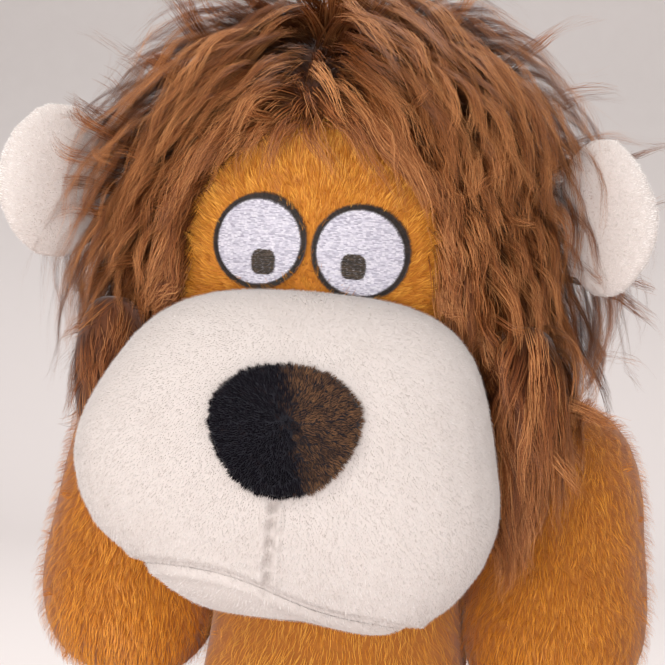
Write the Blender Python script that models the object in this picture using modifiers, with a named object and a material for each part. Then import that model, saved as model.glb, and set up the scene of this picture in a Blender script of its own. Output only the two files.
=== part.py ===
# A seated plush lion with a long-haired mane, an oversized cream muzzle and embroidered eyes.
# The lion faces -Y and sits on the plane z = 0, with the origin in the middle of its seat.
import bpy
import bmesh
import math
from mathutils import Matrix, Vector
from mathutils.bvhtree import BVHTree

MM = 0.001

# Cloth and the room that sewn neighbours keep
GAP = 0.3 * MM
PLUSH_WALL = 1.4 * MM
MINKY_WALL = 1.1 * MM
WADDING_SLACK = 3.6 * MM
EAR_SLACK = 1.4 * MM
ARM_SLACK = 2.4 * MM
RIM_LAP = 2.5 * MM
CUT_SPAN = 600 * MM
WELD = 0.05 * MM

# Torso
TORSO_WIDTH = 158 * MM
TORSO_DEPTH = 138 * MM
TORSO_HEIGHT = 220 * MM
TORSO_BACKWARD = 4 * MM
BASE_SINK = 10 * MM
SEAT_PANEL_WALL = 1.6 * MM
BAG_SIDE_ROOM = 23 * MM
BAG_END_ROOM = 25 * MM
BAG_HEIGHT = 30 * MM
BAG_BACKWARD = 7 * MM
BAG_WIDTH = TORSO_WIDTH - 2 * BAG_SIDE_ROOM
BAG_DEPTH = TORSO_DEPTH - 2 * BAG_END_ROOM

# Neck ball, in the middle of which the head turns and nods
NECK_RADIUS = 44 * MM
NECK_FORWARD = 14 * MM
NECK_RISE = 6 * MM
NECK_BAND_REACH = 30 * MM
NECK_PLAY = 0.9 * MM
NECK_HEIGHT = TORSO_HEIGHT + NECK_RISE

# Head, under the fur
SKULL_WIDTH = 184 * MM
SKULL_DEPTH = 174 * MM
SKULL_HEIGHT = 163 * MM
SKULL_AHEAD = 21 * MM
SKULL_LIFT = 6 * MM
HEAD_ASIDE = -10 * MM
EYE_RISE = 69 * MM
SKULL_FORWARD = NECK_FORWARD + SKULL_AHEAD
SKULL_BOTTOM = NECK_HEIGHT + SKULL_LIFT
EYE_LINE = SKULL_BOTTOM + EYE_RISE

# Muzzle
MUZZLE_WIDTH = 160 * MM
MUZZLE_DEPTH = 90 * MM
MUZZLE_HEIGHT = 131 * MM
MUZZLE_RISE = 50 * MM
MUZZLE_REACH = 54 * MM
JAW_SEAM_FRONT = 17 * MM
JAW_SEAM_TILT = 9.0
MUZZLE_TOP = SKULL_BOTTOM + MUZZLE_RISE
MUZZLE_FRONT = SKULL_FORWARD + SKULL_DEPTH / 2 + MUZZLE_REACH

# Nose
NOSE_WIDTH = 59 * MM
NOSE_HEIGHT = 51 * MM
NOSE_DROP = 55 * MM
NOSE_PROUD = 3.5 * MM
NOSE_ROOM = 120 * MM

# Eyes, stitched on the face
EYE_WIDTH = 34 * MM
EYE_HEIGHT = 37 * MM
EYE_SPACING = 40.5 * MM
EYE_RIM = 2.0 * MM
EYE_STITCH = 0.9 * MM
PUPIL_WIDTH = 10.5 * MM
PUPIL_HEIGHT = 11 * MM
PUPIL_INWARD = 3.2 * MM
PUPIL_DROP = 6.5 * MM
PUPIL_STITCH = 0.6 * MM

# Mane, as the room its hair fills
MANE_SIDE = 19 * MM
MANE_END = 19 * MM
MANE_RISE = 156 * MM
MANE_LIFT = 30 * MM
MANE_BEHIND = 7 * MM
MANE_WIDTH = SKULL_WIDTH + 2 * MANE_SIDE
MANE_DEPTH = SKULL_DEPTH + 2 * MANE_END
MANE_BOTTOM = SKULL_BOTTOM + MANE_LIFT
MANE_FORWARD = SKULL_FORWARD - MANE_BEHIND
FACE_WIDTH = 104 * MM
FACE_RISE = 118 * MM
FACE_TOP = SKULL_BOTTOM + FACE_RISE
LOCK_WIDTH = 46 * MM
LOCK_DEPTH = 44 * MM
LOCK_HEIGHT = 92 * MM
LOCK_INSET = 25 * MM
LOCK_SETBACK = 43 * MM
LOCK_FALL = 72 * MM
LOCK_SIDE = MANE_WIDTH / 2 - LOCK_INSET
LOCK_FORWARD = MANE_FORWARD + MANE_DEPTH / 2 - LOCK_SETBACK
LOCK_BOTTOM = MANE_BOTTOM - LOCK_FALL
NAPE_WIDTH = 104 * MM
NAPE_DEPTH = 36 * MM
NAPE_HEIGHT = 84 * MM
NAPE_INSET = 8 * MM
NAPE_FALL = 62 * MM
NAPE_BACKWARD = MANE_DEPTH / 2 - MANE_FORWARD - NAPE_INSET
NAPE_BOTTOM = MANE_BOTTOM - NAPE_FALL

# Ears
EAR_REACH = 40 * MM
EAR_ROOT = 8 * MM
EAR_HEIGHT = 68 * MM
EAR_THICKNESS = 16 * MM
EAR_RISE = 61 * MM
EAR_AZIMUTH = 72.0
EAR_LINE = MANE_BOTTOM + EAR_RISE

# Arms
ARM_WIDTH = 86 * MM
ARM_DEPTH = 82 * MM
ARM_LENGTH = 142 * MM
SHOULDER_DROP = 20 * MM
SHOULDER_INSET = 27 * MM
SHOULDER_TILT = 3.0
ARM_TILT = 5.5
ARM_FORWARD = 8.0
ARM_SINK = 5 * MM
SHOULDER_HEIGHT = TORSO_HEIGHT - SHOULDER_DROP
SHOULDER_SIDE = TORSO_WIDTH / 2 - SHOULDER_INSET

# Legs
LEG_WIDTH = 74 * MM
LEG_HEIGHT = 90 * MM
LEG_LENGTH = 168 * MM
HIP_INSET = 7 * MM
HIP_HEIGHT = 38 * MM
HIP_BACKWARD = 20 * MM
LEG_BEHIND = 36 * MM
LEG_SINK = 6 * MM
LEG_SPLAY = 8.0
SOLE_CUT = 14 * MM
SOLE_WALL = 1.4 * MM
HIP_SIDE = TORSO_WIDTH / 2 - HIP_INSET

# Tail
TAIL_RADIUS = 9 * MM
TAIL_LENGTH = 120 * MM
TAIL_SIDEWAYS = 34 * MM
TAIL_HEIGHT = 14 * MM
TAIL_ROOT_RADIUS = 12 * MM
TUFT_LENGTH = 60 * MM
TUFT_WIDTH = 34 * MM
TUFT_LAP = 8 * MM
TAIL_LEAD = 4 * MM
TAIL_POINT_COUNT = 9
TAIL_BEVEL_COUNT = 2

# Smoothness
FORM_SIDES = 12
LIMB_SIDES = 10
SMALL_SIDES = 8
ROUND_SIDES = 24
BALL_SIDES = 24

# Each row is one ring of a form, from its lower end up: height, width, depth and lean, as shares
SKULL_SHARES = [
    (0.000, 0.00, 0.00, 0.00),
    (0.010, 0.52, 0.52, 0.00),
    (0.110, 0.80, 0.80, 0.00),
    (0.290, 0.97, 0.97, 0.00),
    (0.460, 1.01, 1.01, 0.00),
    (0.630, 0.93, 0.93, 0.00),
    (0.820, 0.72, 0.72, 0.00),
    (0.950, 0.40, 0.40, 0.00),
    (1.000, 0.00, 0.00, 0.00),
]
MUZZLE_SHARES = [
    (0.000, 0.00, 0.00, 0.00),
    (0.015, 0.50, 0.50, 0.00),
    (0.130, 0.86, 0.86, 0.00),
    (0.330, 1.02, 0.99, -0.01),
    (0.540, 1.00, 1.00, -0.01),
    (0.740, 0.93, 0.93, 0.01),
    (0.900, 0.80, 0.76, 0.05),
    (0.985, 0.50, 0.44, 0.09),
    (1.000, 0.00, 0.00, 0.11),
]
NOSE_SHARES = [
    (0.00, 0.00, 0.00, 0.00),
    (0.05, 0.44, 1.00, 0.00),
    (0.26, 0.78, 1.00, 0.00),
    (0.52, 0.98, 1.00, 0.00),
    (0.74, 0.96, 1.00, 0.00),
    (0.94, 0.56, 1.00, 0.00),
    (1.00, 0.00, 0.00, 0.00),
]
TORSO_SHARES = [
    (0.000, 0.00, 0.00, 0.06),
    (0.010, 0.62, 0.62, 0.06),
    (0.100, 0.93, 0.93, 0.06),
    (0.230, 1.01, 1.01, 0.05),
    (0.380, 0.94, 0.96, 0.03),
    (0.540, 0.80, 0.88, -0.01),
    (0.700, 0.71, 0.81, -0.05),
    (0.850, 0.67, 0.74, -0.09),
    (0.955, 0.61, 0.64, -0.12),
    (0.998, 0.42, 0.42, -0.12),
    (1.000, 0.00, 0.00, -0.12),
]
MANE_SHARES = [
    (0.00, 0.00, 0.00, 0.00),
    (0.01, 0.62, 0.62, 0.00),
    (0.08, 0.93, 0.93, 0.00),
    (0.28, 1.01, 1.01, 0.00),
    (0.48, 0.97, 0.97, 0.00),
    (0.68, 0.84, 0.84, 0.00),
    (0.86, 0.60, 0.60, 0.00),
    (0.97, 0.30, 0.30, 0.00),
    (1.00, 0.00, 0.00, 0.00),
]
LOCK_SHARES = [
    (0.00, 0.00, 0.00, 0.00),
    (0.05, 0.34, 0.34, 0.00),
    (0.32, 0.80, 0.80, 0.00),
    (0.70, 1.00, 1.00, 0.00),
    (0.95, 0.70, 0.70, 0.00),
    (1.00, 0.00, 0.00, 0.00),
]
PAD_SHARES = [
    (0.00, 0.00, 0.00, 0.00),
    (0.05, 0.42, 0.55, 0.00),
    (0.26, 0.90, 0.96, 0.00),
    (0.50, 1.00, 1.00, 0.00),
    (0.74, 0.90, 0.96, 0.00),
    (0.95, 0.42, 0.55, 0.00),
    (1.00, 0.00, 0.00, 0.00),
]
ARM_SHARES = [
    (0.00, 0.00, 0.00, 0.00),
    (0.02, 0.50, 0.50, 0.00),
    (0.13, 0.88, 0.90, 0.00),
    (0.32, 1.00, 1.00, 0.00),
    (0.52, 0.94, 0.95, 0.00),
    (0.76, 0.98, 0.98, 0.00),
    (0.94, 0.66, 0.66, 0.00),
    (1.00, 0.00, 0.00, 0.00),
]
LEG_SHARES = [
    (0.00, 0.00, 0.00, 0.00),
    (0.04, 0.52, 0.46, -0.08),
    (0.20, 0.92, 0.78, -0.08),
    (0.44, 0.94, 0.80, -0.07),
    (0.64, 0.86, 0.76, -0.09),
    (0.82, 1.00, 1.02, 0.02),
    (0.96, 0.78, 0.86, 0.04),
    (1.00, 0.00, 0.00, 0.04),
]
TUFT_SHARES = [
    (0.00, 0.00, 0.00, 0.00),
    (0.05, 0.50, 0.50, 0.00),
    (0.30, 1.00, 1.00, 0.00),
    (0.60, 0.80, 0.80, 0.00),
    (0.90, 0.30, 0.30, 0.00),
    (1.00, 0.00, 0.00, 0.00),
]

MUZZLE_OPENING_SHARE = 0.44
ROUND_SHARE = 2.0
BOXY_SHARE = 2.5

# Colours as linear red, green and blue
GOLD = (0.49, 0.19, 0.035)
ORANGE = (0.42, 0.13, 0.02)
BROWN = (0.14, 0.045, 0.014)
CREAM = (0.83, 0.72, 0.64)
BLACK = (0.012, 0.011, 0.014)
LILAC = (0.74, 0.70, 0.78)
UMBER = (0.06, 0.028, 0.012)
WHITE = (0.80, 0.79, 0.76)
CANVAS = (0.55, 0.48, 0.38)


def clear_scene():
    for thing in list(bpy.data.objects):
        bpy.data.objects.remove(thing, do_unlink=True)


def new_collection(name):
    group = bpy.data.collections.new(name)
    bpy.context.scene.collection.children.link(group)
    return group


def cloth(name, colour, roughness):
    made = bpy.data.materials.new(name)
    made.use_nodes = True
    shader = made.node_tree.nodes["Principled BSDF"]
    shader.inputs["Base Color"].default_value = (*colour, 1.0)
    shader.inputs["Roughness"].default_value = roughness
    shader.inputs["Metallic"].default_value = 0.0
    return made


def object_of(name, mesh, group):
    thing = bpy.data.objects.new(name, mesh)
    group.objects.link(thing)
    return thing


def evaluated(thing):
    bpy.context.view_layer.update()
    graph = bpy.context.evaluated_depsgraph_get()
    mesh = bpy.data.meshes.new_from_object(thing.evaluated_get(graph))
    mesh.transform(thing.matrix_world)
    return mesh


def reshaped(mesh, change):
    """The mesh after change, a function of its bmesh."""
    bm = bmesh.new()
    bm.from_mesh(mesh)
    change(bm)
    bmesh.ops.recalc_face_normals(bm, faces=bm.faces)
    bm.to_mesh(mesh)
    bm.free()
    return mesh


def power(value, share):
    return math.copysign(abs(value) ** (ROUND_SHARE / share), value)


def soft_form(size, shares, around=FORM_SIDES, level=1, boxy=ROUND_SHARE):
    """A closed form, standing on z = 0 and centred in x and y, that swells and tapers by its shares."""
    width, depth, height = size
    rings = len(shares) - 1

    def shape(bm):
        for vert in bm.verts:
            ring = rings - round(math.acos(max(-1.0, min(1.0, vert.co.z))) * rings / math.pi)
            angle = math.atan2(vert.co.y, vert.co.x)
            up, wide, deep, lean = shares[ring]
            across = 0.0 if ring in (0, rings) else wide / 2 * power(math.cos(angle), boxy)
            along = 0.0 if ring in (0, rings) else deep / 2 * power(math.sin(angle), boxy)
            vert.co = Vector((width * across, depth * (along + lean), height * up))

    bm = bmesh.new()
    bmesh.ops.create_uvsphere(bm, u_segments=around, v_segments=rings, radius=1.0)
    shape(bm)
    mesh = bpy.data.meshes.new("form")
    bm.to_mesh(mesh)
    bm.free()
    thing = object_of("form", mesh, guides)
    if level:
        smooth = thing.modifiers.new("smooth", "SUBSURF")
        smooth.levels = level
        smooth.render_levels = level
    form = evaluated(thing)
    bpy.data.objects.remove(thing, do_unlink=True)
    low = Vector([min(v.co[i] for v in form.vertices) for i in range(3)])
    high = Vector([max(v.co[i] for v in form.vertices) for i in range(3)])
    span = high - low
    middle = (low + high) / 2
    form.transform(Matrix.Translation(Vector((-middle.x, -middle.y, -low.z))))
    form.transform(Matrix.Diagonal(Vector((width / span.x, depth / span.y, height / span.z, 1.0))))
    return form


def placed(mesh, matrix):
    moved = mesh.copy()
    moved.transform(matrix)
    return moved


def grown(mesh, distance):
    """A copy whose surface lies the distance outside the mesh."""
    def swell(bm):
        bm.normal_update()
        moves = [(vert, vert.normal * distance) for vert in bm.verts]
        for vert, move in moves:
            vert.co += move

    return reshaped(mesh.copy(), swell)


def surface_point(mesh, start, direction):
    """Where a line from the start first meets the mesh."""
    tree = BVHTree.FromPolygons([v.co for v in mesh.vertices], [p.vertices for p in mesh.polygons])
    return tree.ray_cast(start, direction)[0]


def trimmed(mesh, tools):
    """A copy of the mesh with each tool taken away."""
    thing = object_of("trimmed", mesh.copy(), guides)
    for tool in tools:
        cut = thing.modifiers.new("cut", "BOOLEAN")
        cut.operation = "DIFFERENCE"
        cut.solver = "EXACT"
        cut.object = tool
    made = evaluated(thing)
    bpy.data.objects.remove(thing, do_unlink=True)

    def weld(bm):
        bmesh.ops.remove_doubles(bm, verts=bm.verts, dist=WELD)

    return reshaped(made, weld)


def opened(mesh, inside):
    """A copy without the faces whose corners all lie inside the opening."""
    def drop(bm):
        lost = [face for face in bm.faces if all(inside(vert.co) for vert in face.verts)]
        bmesh.ops.delete(bm, geom=lost, context="FACES")

    return reshaped(mesh.copy(), drop)


def cutter(name, mesh):
    thing = object_of(name, mesh, guides)
    thing.hide_render = True
    thing.display_type = "WIRE"
    return thing


def block(name, size, matrix):
    bm = bmesh.new()
    bmesh.ops.create_cube(bm, size=1.0)
    bmesh.ops.scale(bm, vec=size, verts=bm.verts)
    bm.transform(matrix)
    mesh = bpy.data.meshes.new(name)
    bm.to_mesh(mesh)
    bm.free()
    return cutter(name, mesh)


def half_space(name, point, normal):
    """A large block that fills the side of a plane to which the normal points."""
    turn = Vector(normal).to_track_quat("Z", "Y").to_matrix().to_4x4()
    centre = Vector(point) + Vector(normal).normalized() * CUT_SPAN / 2
    return block(name, (CUT_SPAN, CUT_SPAN, CUT_SPAN), Matrix.Translation(centre) @ turn)


def ball(radius, centre, around=BALL_SIDES):
    bm = bmesh.new()
    bmesh.ops.create_uvsphere(bm, u_segments=around, v_segments=around // 2, radius=radius)
    bm.transform(Matrix.Translation(centre))
    mesh = bpy.data.meshes.new("ball")
    bm.to_mesh(mesh)
    bm.free()
    return mesh


def bar(radius, length, centre, direction, stretch=1.0, sides=ROUND_SIDES):
    """A cylinder along the direction; stretch widens it across its second axis."""
    bm = bmesh.new()
    bmesh.ops.create_cone(
        bm, cap_ends=True, segments=sides, radius1=radius, radius2=radius, depth=length
    )
    bmesh.ops.scale(bm, vec=(1.0, stretch, 1.0), verts=bm.verts)
    turn = Vector(direction).to_track_quat("Z", "Y").to_matrix().to_4x4()
    bm.transform(Matrix.Translation(centre) @ turn)
    mesh = bpy.data.meshes.new("bar")
    bm.to_mesh(mesh)
    bm.free()
    return mesh


def piece(name, mesh, finish, cuts=(), wall=0.0, origin=None, keep=()):
    """One named piece; wall gives an open surface its cloth, cuts are taken away and keep is kept."""
    pivot = Vector(origin) if origin is not None else Vector((0.0, 0.0, 0.0))
    own = mesh.copy()
    own.name = name
    own.transform(Matrix.Translation(-pivot))
    own.materials.clear()
    own.materials.append(finish)
    own.shade_smooth()
    thing = object_of(name, own, parts)
    thing.location = pivot
    if wall:
        sewn = thing.modifiers.new("cloth", "SOLIDIFY")
        sewn.thickness = wall
        sewn.offset = -1.0
        sewn.use_even_offset = True
    for number, tool in enumerate(keep):
        kept = thing.modifiers.new(f"keep_{number}", "BOOLEAN")
        kept.operation = "INTERSECT"
        kept.solver = "EXACT"
        kept.object = tool
    for number, tool in enumerate(cuts):
        cut = thing.modifiers.new(f"cut_{number}", "BOOLEAN")
        cut.operation = "DIFFERENCE"
        cut.solver = "EXACT"
        cut.object = tool
    return thing


clear_scene()
parts = new_collection("plush_lion")
guides = new_collection("cutters")

golden_plush = cloth("golden_plush", GOLD, 0.9)
orange_plush = cloth("orange_plush", ORANGE, 0.9)
mane_fur = cloth("mane_fur", BROWN, 0.8)
cream_minky = cloth("cream_minky", CREAM, 0.85)
nose_plush = cloth("nose_plush", BLACK, 0.8)
white_thread = cloth("white_thread", LILAC, 0.5)
brown_thread = cloth("brown_thread", UMBER, 0.45)
fibre_fill = cloth("fibre_fill", WHITE, 0.95)
pellet_cloth = cloth("pellet_cloth", CANVAS, 0.9)

SIDES = (("left", 1.0), ("right", -1.0))
neck_point = Vector((0.0, -NECK_FORWARD, NECK_HEIGHT))


def mirrored(side):
    return Matrix.Diagonal(Vector((side, 1.0, 1.0, 1.0)))


# Whole forms, from which the pieces and the room between them are cut

skull = placed(
    soft_form((SKULL_WIDTH, SKULL_DEPTH, SKULL_HEIGHT), SKULL_SHARES),
    Matrix.Translation((HEAD_ASIDE, -SKULL_FORWARD, SKULL_BOTTOM)),
)
muzzle_bottom = MUZZLE_TOP - MUZZLE_HEIGHT
muzzle_middle = MUZZLE_DEPTH / 2 - MUZZLE_FRONT
muzzle = placed(
    soft_form((MUZZLE_WIDTH, MUZZLE_DEPTH, MUZZLE_HEIGHT), MUZZLE_SHARES, boxy=BOXY_SHARE),
    Matrix.Translation((HEAD_ASIDE, muzzle_middle, muzzle_bottom)),
)
torso = placed(
    soft_form((TORSO_WIDTH, TORSO_DEPTH, TORSO_HEIGHT + BASE_SINK), TORSO_SHARES),
    Matrix.Translation((0.0, TORSO_BACKWARD, -BASE_SINK)),
)
crown = placed(
    soft_form((MANE_WIDTH, MANE_DEPTH, MANE_RISE), MANE_SHARES),
    Matrix.Translation((HEAD_ASIDE, -MANE_FORWARD, MANE_BOTTOM)),
)

neck_room = cutter("neck_room", ball(NECK_RADIUS + NECK_PLAY, neck_point))
skull_room = cutter("skull_room", grown(skull, GAP))
muzzle_room = cutter("muzzle_room", grown(muzzle, GAP))
below_floor = half_space("below_floor", (0.0, 0.0, 0.0), (0.0, 0.0, -1.0))


# Neck

def make_neck():
    def open_ends(point):
        return abs(point.z - NECK_HEIGHT) > NECK_BAND_REACH

    band = opened(ball(NECK_RADIUS, neck_point), open_ends)
    piece("neck_cover", band, orange_plush, wall=PLUSH_WALL, origin=neck_point)
    filling = ball(NECK_RADIUS - PLUSH_WALL - GAP, neck_point, around=FORM_SIDES)
    piece("neck_stuffing", filling, fibre_fill, origin=neck_point)


# Torso

def shoulder_frame(side):
    """Where the arm's hinge meets the torso, and the hinge's axis, pointing out."""
    tilt = math.radians(SHOULDER_TILT)
    point = Vector((side * SHOULDER_SIDE, 0.0, SHOULDER_HEIGHT))
    return point, Vector((side * math.cos(tilt), 0.0, math.sin(tilt)))


def hip_frame(side):
    """Where the leg's hinge meets the torso, and the hinge's axis, pointing out."""
    point = Vector((side * HIP_SIDE, HIP_BACKWARD, HIP_HEIGHT))
    return point, Vector((side, 0.0, 0.0))


def arm_place(side):
    """The arm's own frame: its paw at the foot of its z axis."""
    return (
        Matrix.Translation(shoulder_frame(side)[0])
        @ Matrix.Rotation(side * -math.radians(SHOULDER_TILT), 4, "Y")
        @ Matrix.Rotation(-math.radians(ARM_FORWARD), 4, "X")
        @ Matrix.Translation((side * (ARM_WIDTH / 2 - ARM_SINK), 0.0, 0.0))
        @ Matrix.Rotation(side * -math.radians(ARM_TILT - SHOULDER_TILT), 4, "Y")
        @ Matrix.Translation((0.0, 0.0, ARM_WIDTH / 2 - ARM_LENGTH))
    )


def leg_place(side):
    """The leg's own frame: its hip at the foot of its z axis, which runs forward."""
    return (
        Matrix.Translation(hip_frame(side)[0])
        @ Matrix.Translation((side * (LEG_WIDTH / 2 - LEG_SINK), 0.0, 0.0))
        @ Matrix.Rotation(side * math.radians(LEG_SPLAY), 4, "Z")
        @ Matrix.Translation((0.0, LEG_BEHIND, 0.0))
        @ Matrix.Rotation(math.pi / 2, 4, "X")
    )


def arm_form(side):
    size = (ARM_WIDTH, ARM_DEPTH, ARM_LENGTH)
    return placed(soft_form(size, ARM_SHARES, around=LIMB_SIDES), arm_place(side))


def leg_form(side):
    size = (LEG_WIDTH, LEG_HEIGHT, LEG_LENGTH)
    return placed(soft_form(size, LEG_SHARES, around=LIMB_SIDES), leg_place(side))


def reach_of(mesh, point, axis):
    """How far the mesh reaches from the line through the point along the axis."""
    return max((vert.co - point).cross(axis).length for vert in mesh.vertices)


def limb_rooms(kind, extra):
    """The flats on the torso that the arms, the legs and the tail lie against, as far as they swing."""
    rooms = []
    for name, side in SIDES:
        for limb, frame, form in (("arm", shoulder_frame, arm_form), ("leg", hip_frame, leg_form)):
            point, axis = frame(side)
            reach = reach_of(form(side), point, axis) + GAP
            centre = point + axis * (CUT_SPAN / 2 - extra)
            rooms.append(cutter(f"{limb}_{kind}_{name}", bar(reach + extra, CUT_SPAN, centre, axis)))
    root_length = 2 * (TAIL_HEIGHT + TAIL_RADIUS + extra)
    socket = bar(TAIL_ROOT_RADIUS + GAP + extra, root_length, tail_root, (0.0, 0.0, 1.0))
    rooms.append(cutter(f"tail_{kind}", socket))
    return rooms


def make_torso():
    cover = trimmed(torso, limb_rooms("room", 0.0))
    hollow = trimmed(grown(torso, -PLUSH_WALL), limb_rooms("wall", PLUSH_WALL))
    inside = cutter("torso_inside", hollow)
    piece("body_cover", cover, orange_plush, cuts=[inside, neck_room, below_floor])

    lining = limb_rooms("lining", PLUSH_WALL + GAP)
    inner = trimmed(grown(torso, -PLUSH_WALL - GAP), lining)
    above_seat = half_space("above_seat", (0.0, 0.0, SEAT_PANEL_WALL), (0.0, 0.0, 1.0))
    piece("seat_panel", inner, orange_plush, cuts=[above_seat, below_floor])

    bag_foot = SEAT_PANEL_WALL + GAP
    bag = placed(
        soft_form((BAG_WIDTH, BAG_DEPTH, BAG_HEIGHT), PAD_SHARES, around=SMALL_SIDES),
        Matrix.Translation((0.0, BAG_BACKWARD, bag_foot)),
    )
    piece("pellet_bag", bag, pellet_cloth)

    shrink = 2 * (PLUSH_WALL + WADDING_SLACK)
    filling = placed(
        soft_form(
            (TORSO_WIDTH - shrink, TORSO_DEPTH - shrink, TORSO_HEIGHT + BASE_SINK - shrink),
            TORSO_SHARES,
            level=0,
        ),
        Matrix.Translation((0.0, TORSO_BACKWARD, shrink / 2 - BASE_SINK)),
    )
    lifted = half_space("above_bag", (0.0, 0.0, bag_foot + BAG_HEIGHT + GAP), (0.0, 0.0, -1.0))
    piece("body_stuffing", filling, fibre_fill, cuts=[neck_room, lifted, *lining])


# Head

def make_head():
    def neck_hole(point):
        return (point - neck_point).length < NECK_RADIUS - RIM_LAP

    piece(
        "head_cover",
        opened(skull, neck_hole),
        golden_plush,
        wall=PLUSH_WALL,
        cuts=[neck_room],
        origin=neck_point,
    )
    shrink = 2 * (PLUSH_WALL + WADDING_SLACK)
    filling = placed(
        soft_form(
            (SKULL_WIDTH - shrink, SKULL_DEPTH - shrink, SKULL_HEIGHT - shrink),
            SKULL_SHARES,
            level=0,
        ),
        Matrix.Translation((HEAD_ASIDE, -SKULL_FORWARD, SKULL_BOTTOM + shrink / 2)),
    )
    piece("head_stuffing", filling, fibre_fill, cuts=[neck_room], origin=neck_point)


# Muzzle

def make_muzzle():
    def in_skull(point):
        across = (point.x - HEAD_ASIDE) / SKULL_WIDTH
        along = (point.y + SKULL_FORWARD) / SKULL_DEPTH
        return math.hypot(across, along) < MUZZLE_OPENING_SHARE and point.z > SKULL_BOTTOM + 2 * RIM_LAP

    skin = opened(muzzle, in_skull)
    seam = Vector((HEAD_ASIDE, -MUZZLE_FRONT, muzzle_bottom + JAW_SEAM_FRONT))
    tilt = math.radians(JAW_SEAM_TILT)
    down = Vector((0.0, -math.sin(tilt), -math.cos(tilt)))
    below_seam = half_space("below_seam", seam, down)
    above_seam = half_space("above_seam", seam + down * GAP, -down)
    piece(
        "muzzle_panel",
        skin,
        cream_minky,
        wall=MINKY_WALL,
        cuts=[skull_room, below_seam],
        origin=neck_point,
    )
    piece(
        "jaw_panel",
        skin,
        cream_minky,
        wall=MINKY_WALL,
        cuts=[skull_room, above_seam],
        origin=neck_point,
    )
    shrink = 2 * (MINKY_WALL + WADDING_SLACK)
    filling = placed(
        soft_form(
            (MUZZLE_WIDTH - shrink, MUZZLE_DEPTH - shrink, MUZZLE_HEIGHT - shrink),
            MUZZLE_SHARES,
            level=0,
            boxy=BOXY_SHARE,
        ),
        Matrix.Translation((HEAD_ASIDE, muzzle_middle, muzzle_bottom + shrink / 2)),
    )
    piece("muzzle_stuffing", filling, fibre_fill, cuts=[skull_room], origin=neck_point)

    nose = placed(
        soft_form((NOSE_WIDTH, NOSE_ROOM, NOSE_HEIGHT), NOSE_SHARES),
        Matrix.Translation((HEAD_ASIDE, -MUZZLE_FRONT, MUZZLE_TOP - NOSE_DROP - NOSE_HEIGHT / 2)),
    )
    nose_skin = cutter("nose_skin", grown(muzzle, GAP + NOSE_PROUD))
    piece(
        "nose_panel", nose, nose_plush, keep=[nose_skin], cuts=[muzzle_room], origin=neck_point
    )


# Eyes

def make_eyes():
    face_skin = cutter("face_skin", grown(skull, GAP + EYE_STITCH))
    white_skin = cutter("white_skin", grown(skull, 2 * GAP + EYE_STITCH))
    pupil_skin = cutter("pupil_skin", grown(skull, 2 * GAP + EYE_STITCH + PUPIL_STITCH))
    forward = (0.0, -1.0, 0.0)
    stretch = EYE_HEIGHT / EYE_WIDTH
    reach = SKULL_DEPTH
    for name, side in SIDES:
        middle = Vector((HEAD_ASIDE + side * EYE_SPACING / 2, -SKULL_FORWARD - reach / 2, EYE_LINE))
        inner = EYE_WIDTH / 2 - EYE_RIM
        white = bar(inner, reach, middle, forward, stretch)
        piece(
            f"eye_white_{name}",
            white,
            white_thread,
            keep=[face_skin],
            cuts=[skull_room, muzzle_room],
            origin=neck_point,
        )
        hole = cutter(f"eye_hole_{name}", bar(inner + GAP, CUT_SPAN, middle, forward, stretch))
        rim = bar(EYE_WIDTH / 2, reach, middle, forward, stretch)
        piece(
            f"eye_rim_{name}",
            rim,
            brown_thread,
            keep=[face_skin],
            cuts=[skull_room, muzzle_room, hole],
            origin=neck_point,
        )
        spot = Vector((-side * PUPIL_INWARD, 0.0, -PUPIL_DROP))
        pupil = bar(
            PUPIL_WIDTH / 2, reach, middle + spot, forward, PUPIL_HEIGHT / PUPIL_WIDTH, ROUND_SIDES // 2
        )
        piece(
            f"pupil_{name}",
            pupil,
            brown_thread,
            keep=[pupil_skin],
            cuts=[white_skin],
            origin=neck_point,
        )


# Ears

def ear_frame(side):
    """The point on the mane's side where the ear stands, and the direction in which it points."""
    angle = math.radians(EAR_AZIMUTH)
    outward = Vector((side * math.sin(angle), -math.cos(angle), 0.0))
    middle = Vector((HEAD_ASIDE, -MANE_FORWARD, EAR_LINE))
    return surface_point(crown, middle + outward * CUT_SPAN, -outward), outward


def make_ears():
    rooms = []
    for name, side in SIDES:
        point, outward = ear_frame(side)
        turn = Matrix.Rotation(math.atan2(outward.y, outward.x), 4, "Z")
        long = EAR_REACH + EAR_ROOT
        place = (
            Matrix.Translation(point)
            @ turn
            @ Matrix.Translation(((EAR_REACH - EAR_ROOT) / 2, 0.0, -EAR_HEIGHT / 2))
        )
        pad = placed(
            soft_form((long, EAR_THICKNESS, EAR_HEIGHT), PAD_SHARES, around=SMALL_SIDES), place
        )
        across = turn @ Vector((0.0, side, 0.0))
        for panel, way in (("front", 1.0), ("back", -1.0)):
            facing = -across * way

            def other_half(spot, centre=point, normal=facing):
                return (spot - centre).dot(normal) < -GAP

            split = half_space(f"ear_split_{panel}_{name}", point + facing * GAP / 2, -facing)
            piece(
                f"ear_{panel}_{name}",
                opened(pad, other_half),
                cream_minky,
                wall=MINKY_WALL,
                cuts=[split],
                origin=point,
            )
        shrink = 2 * (MINKY_WALL + EAR_SLACK)
        filling = placed(
            soft_form(
                (long - shrink, EAR_THICKNESS - shrink, EAR_HEIGHT - shrink),
                PAD_SHARES,
                around=SMALL_SIDES,
                level=0,
            ),
            place @ Matrix.Translation((0.0, 0.0, shrink / 2)),
        )
        piece(f"ear_wadding_{name}", filling, fibre_fill, origin=point)
        groove = bar(EAR_ROOT + 2 * GAP, EAR_HEIGHT + 2 * EAR_ROOT, point, (0.0, 0.0, 1.0))
        rooms.append(cutter(f"ear_groove_{name}", groove))
    return rooms


# Mane

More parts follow.
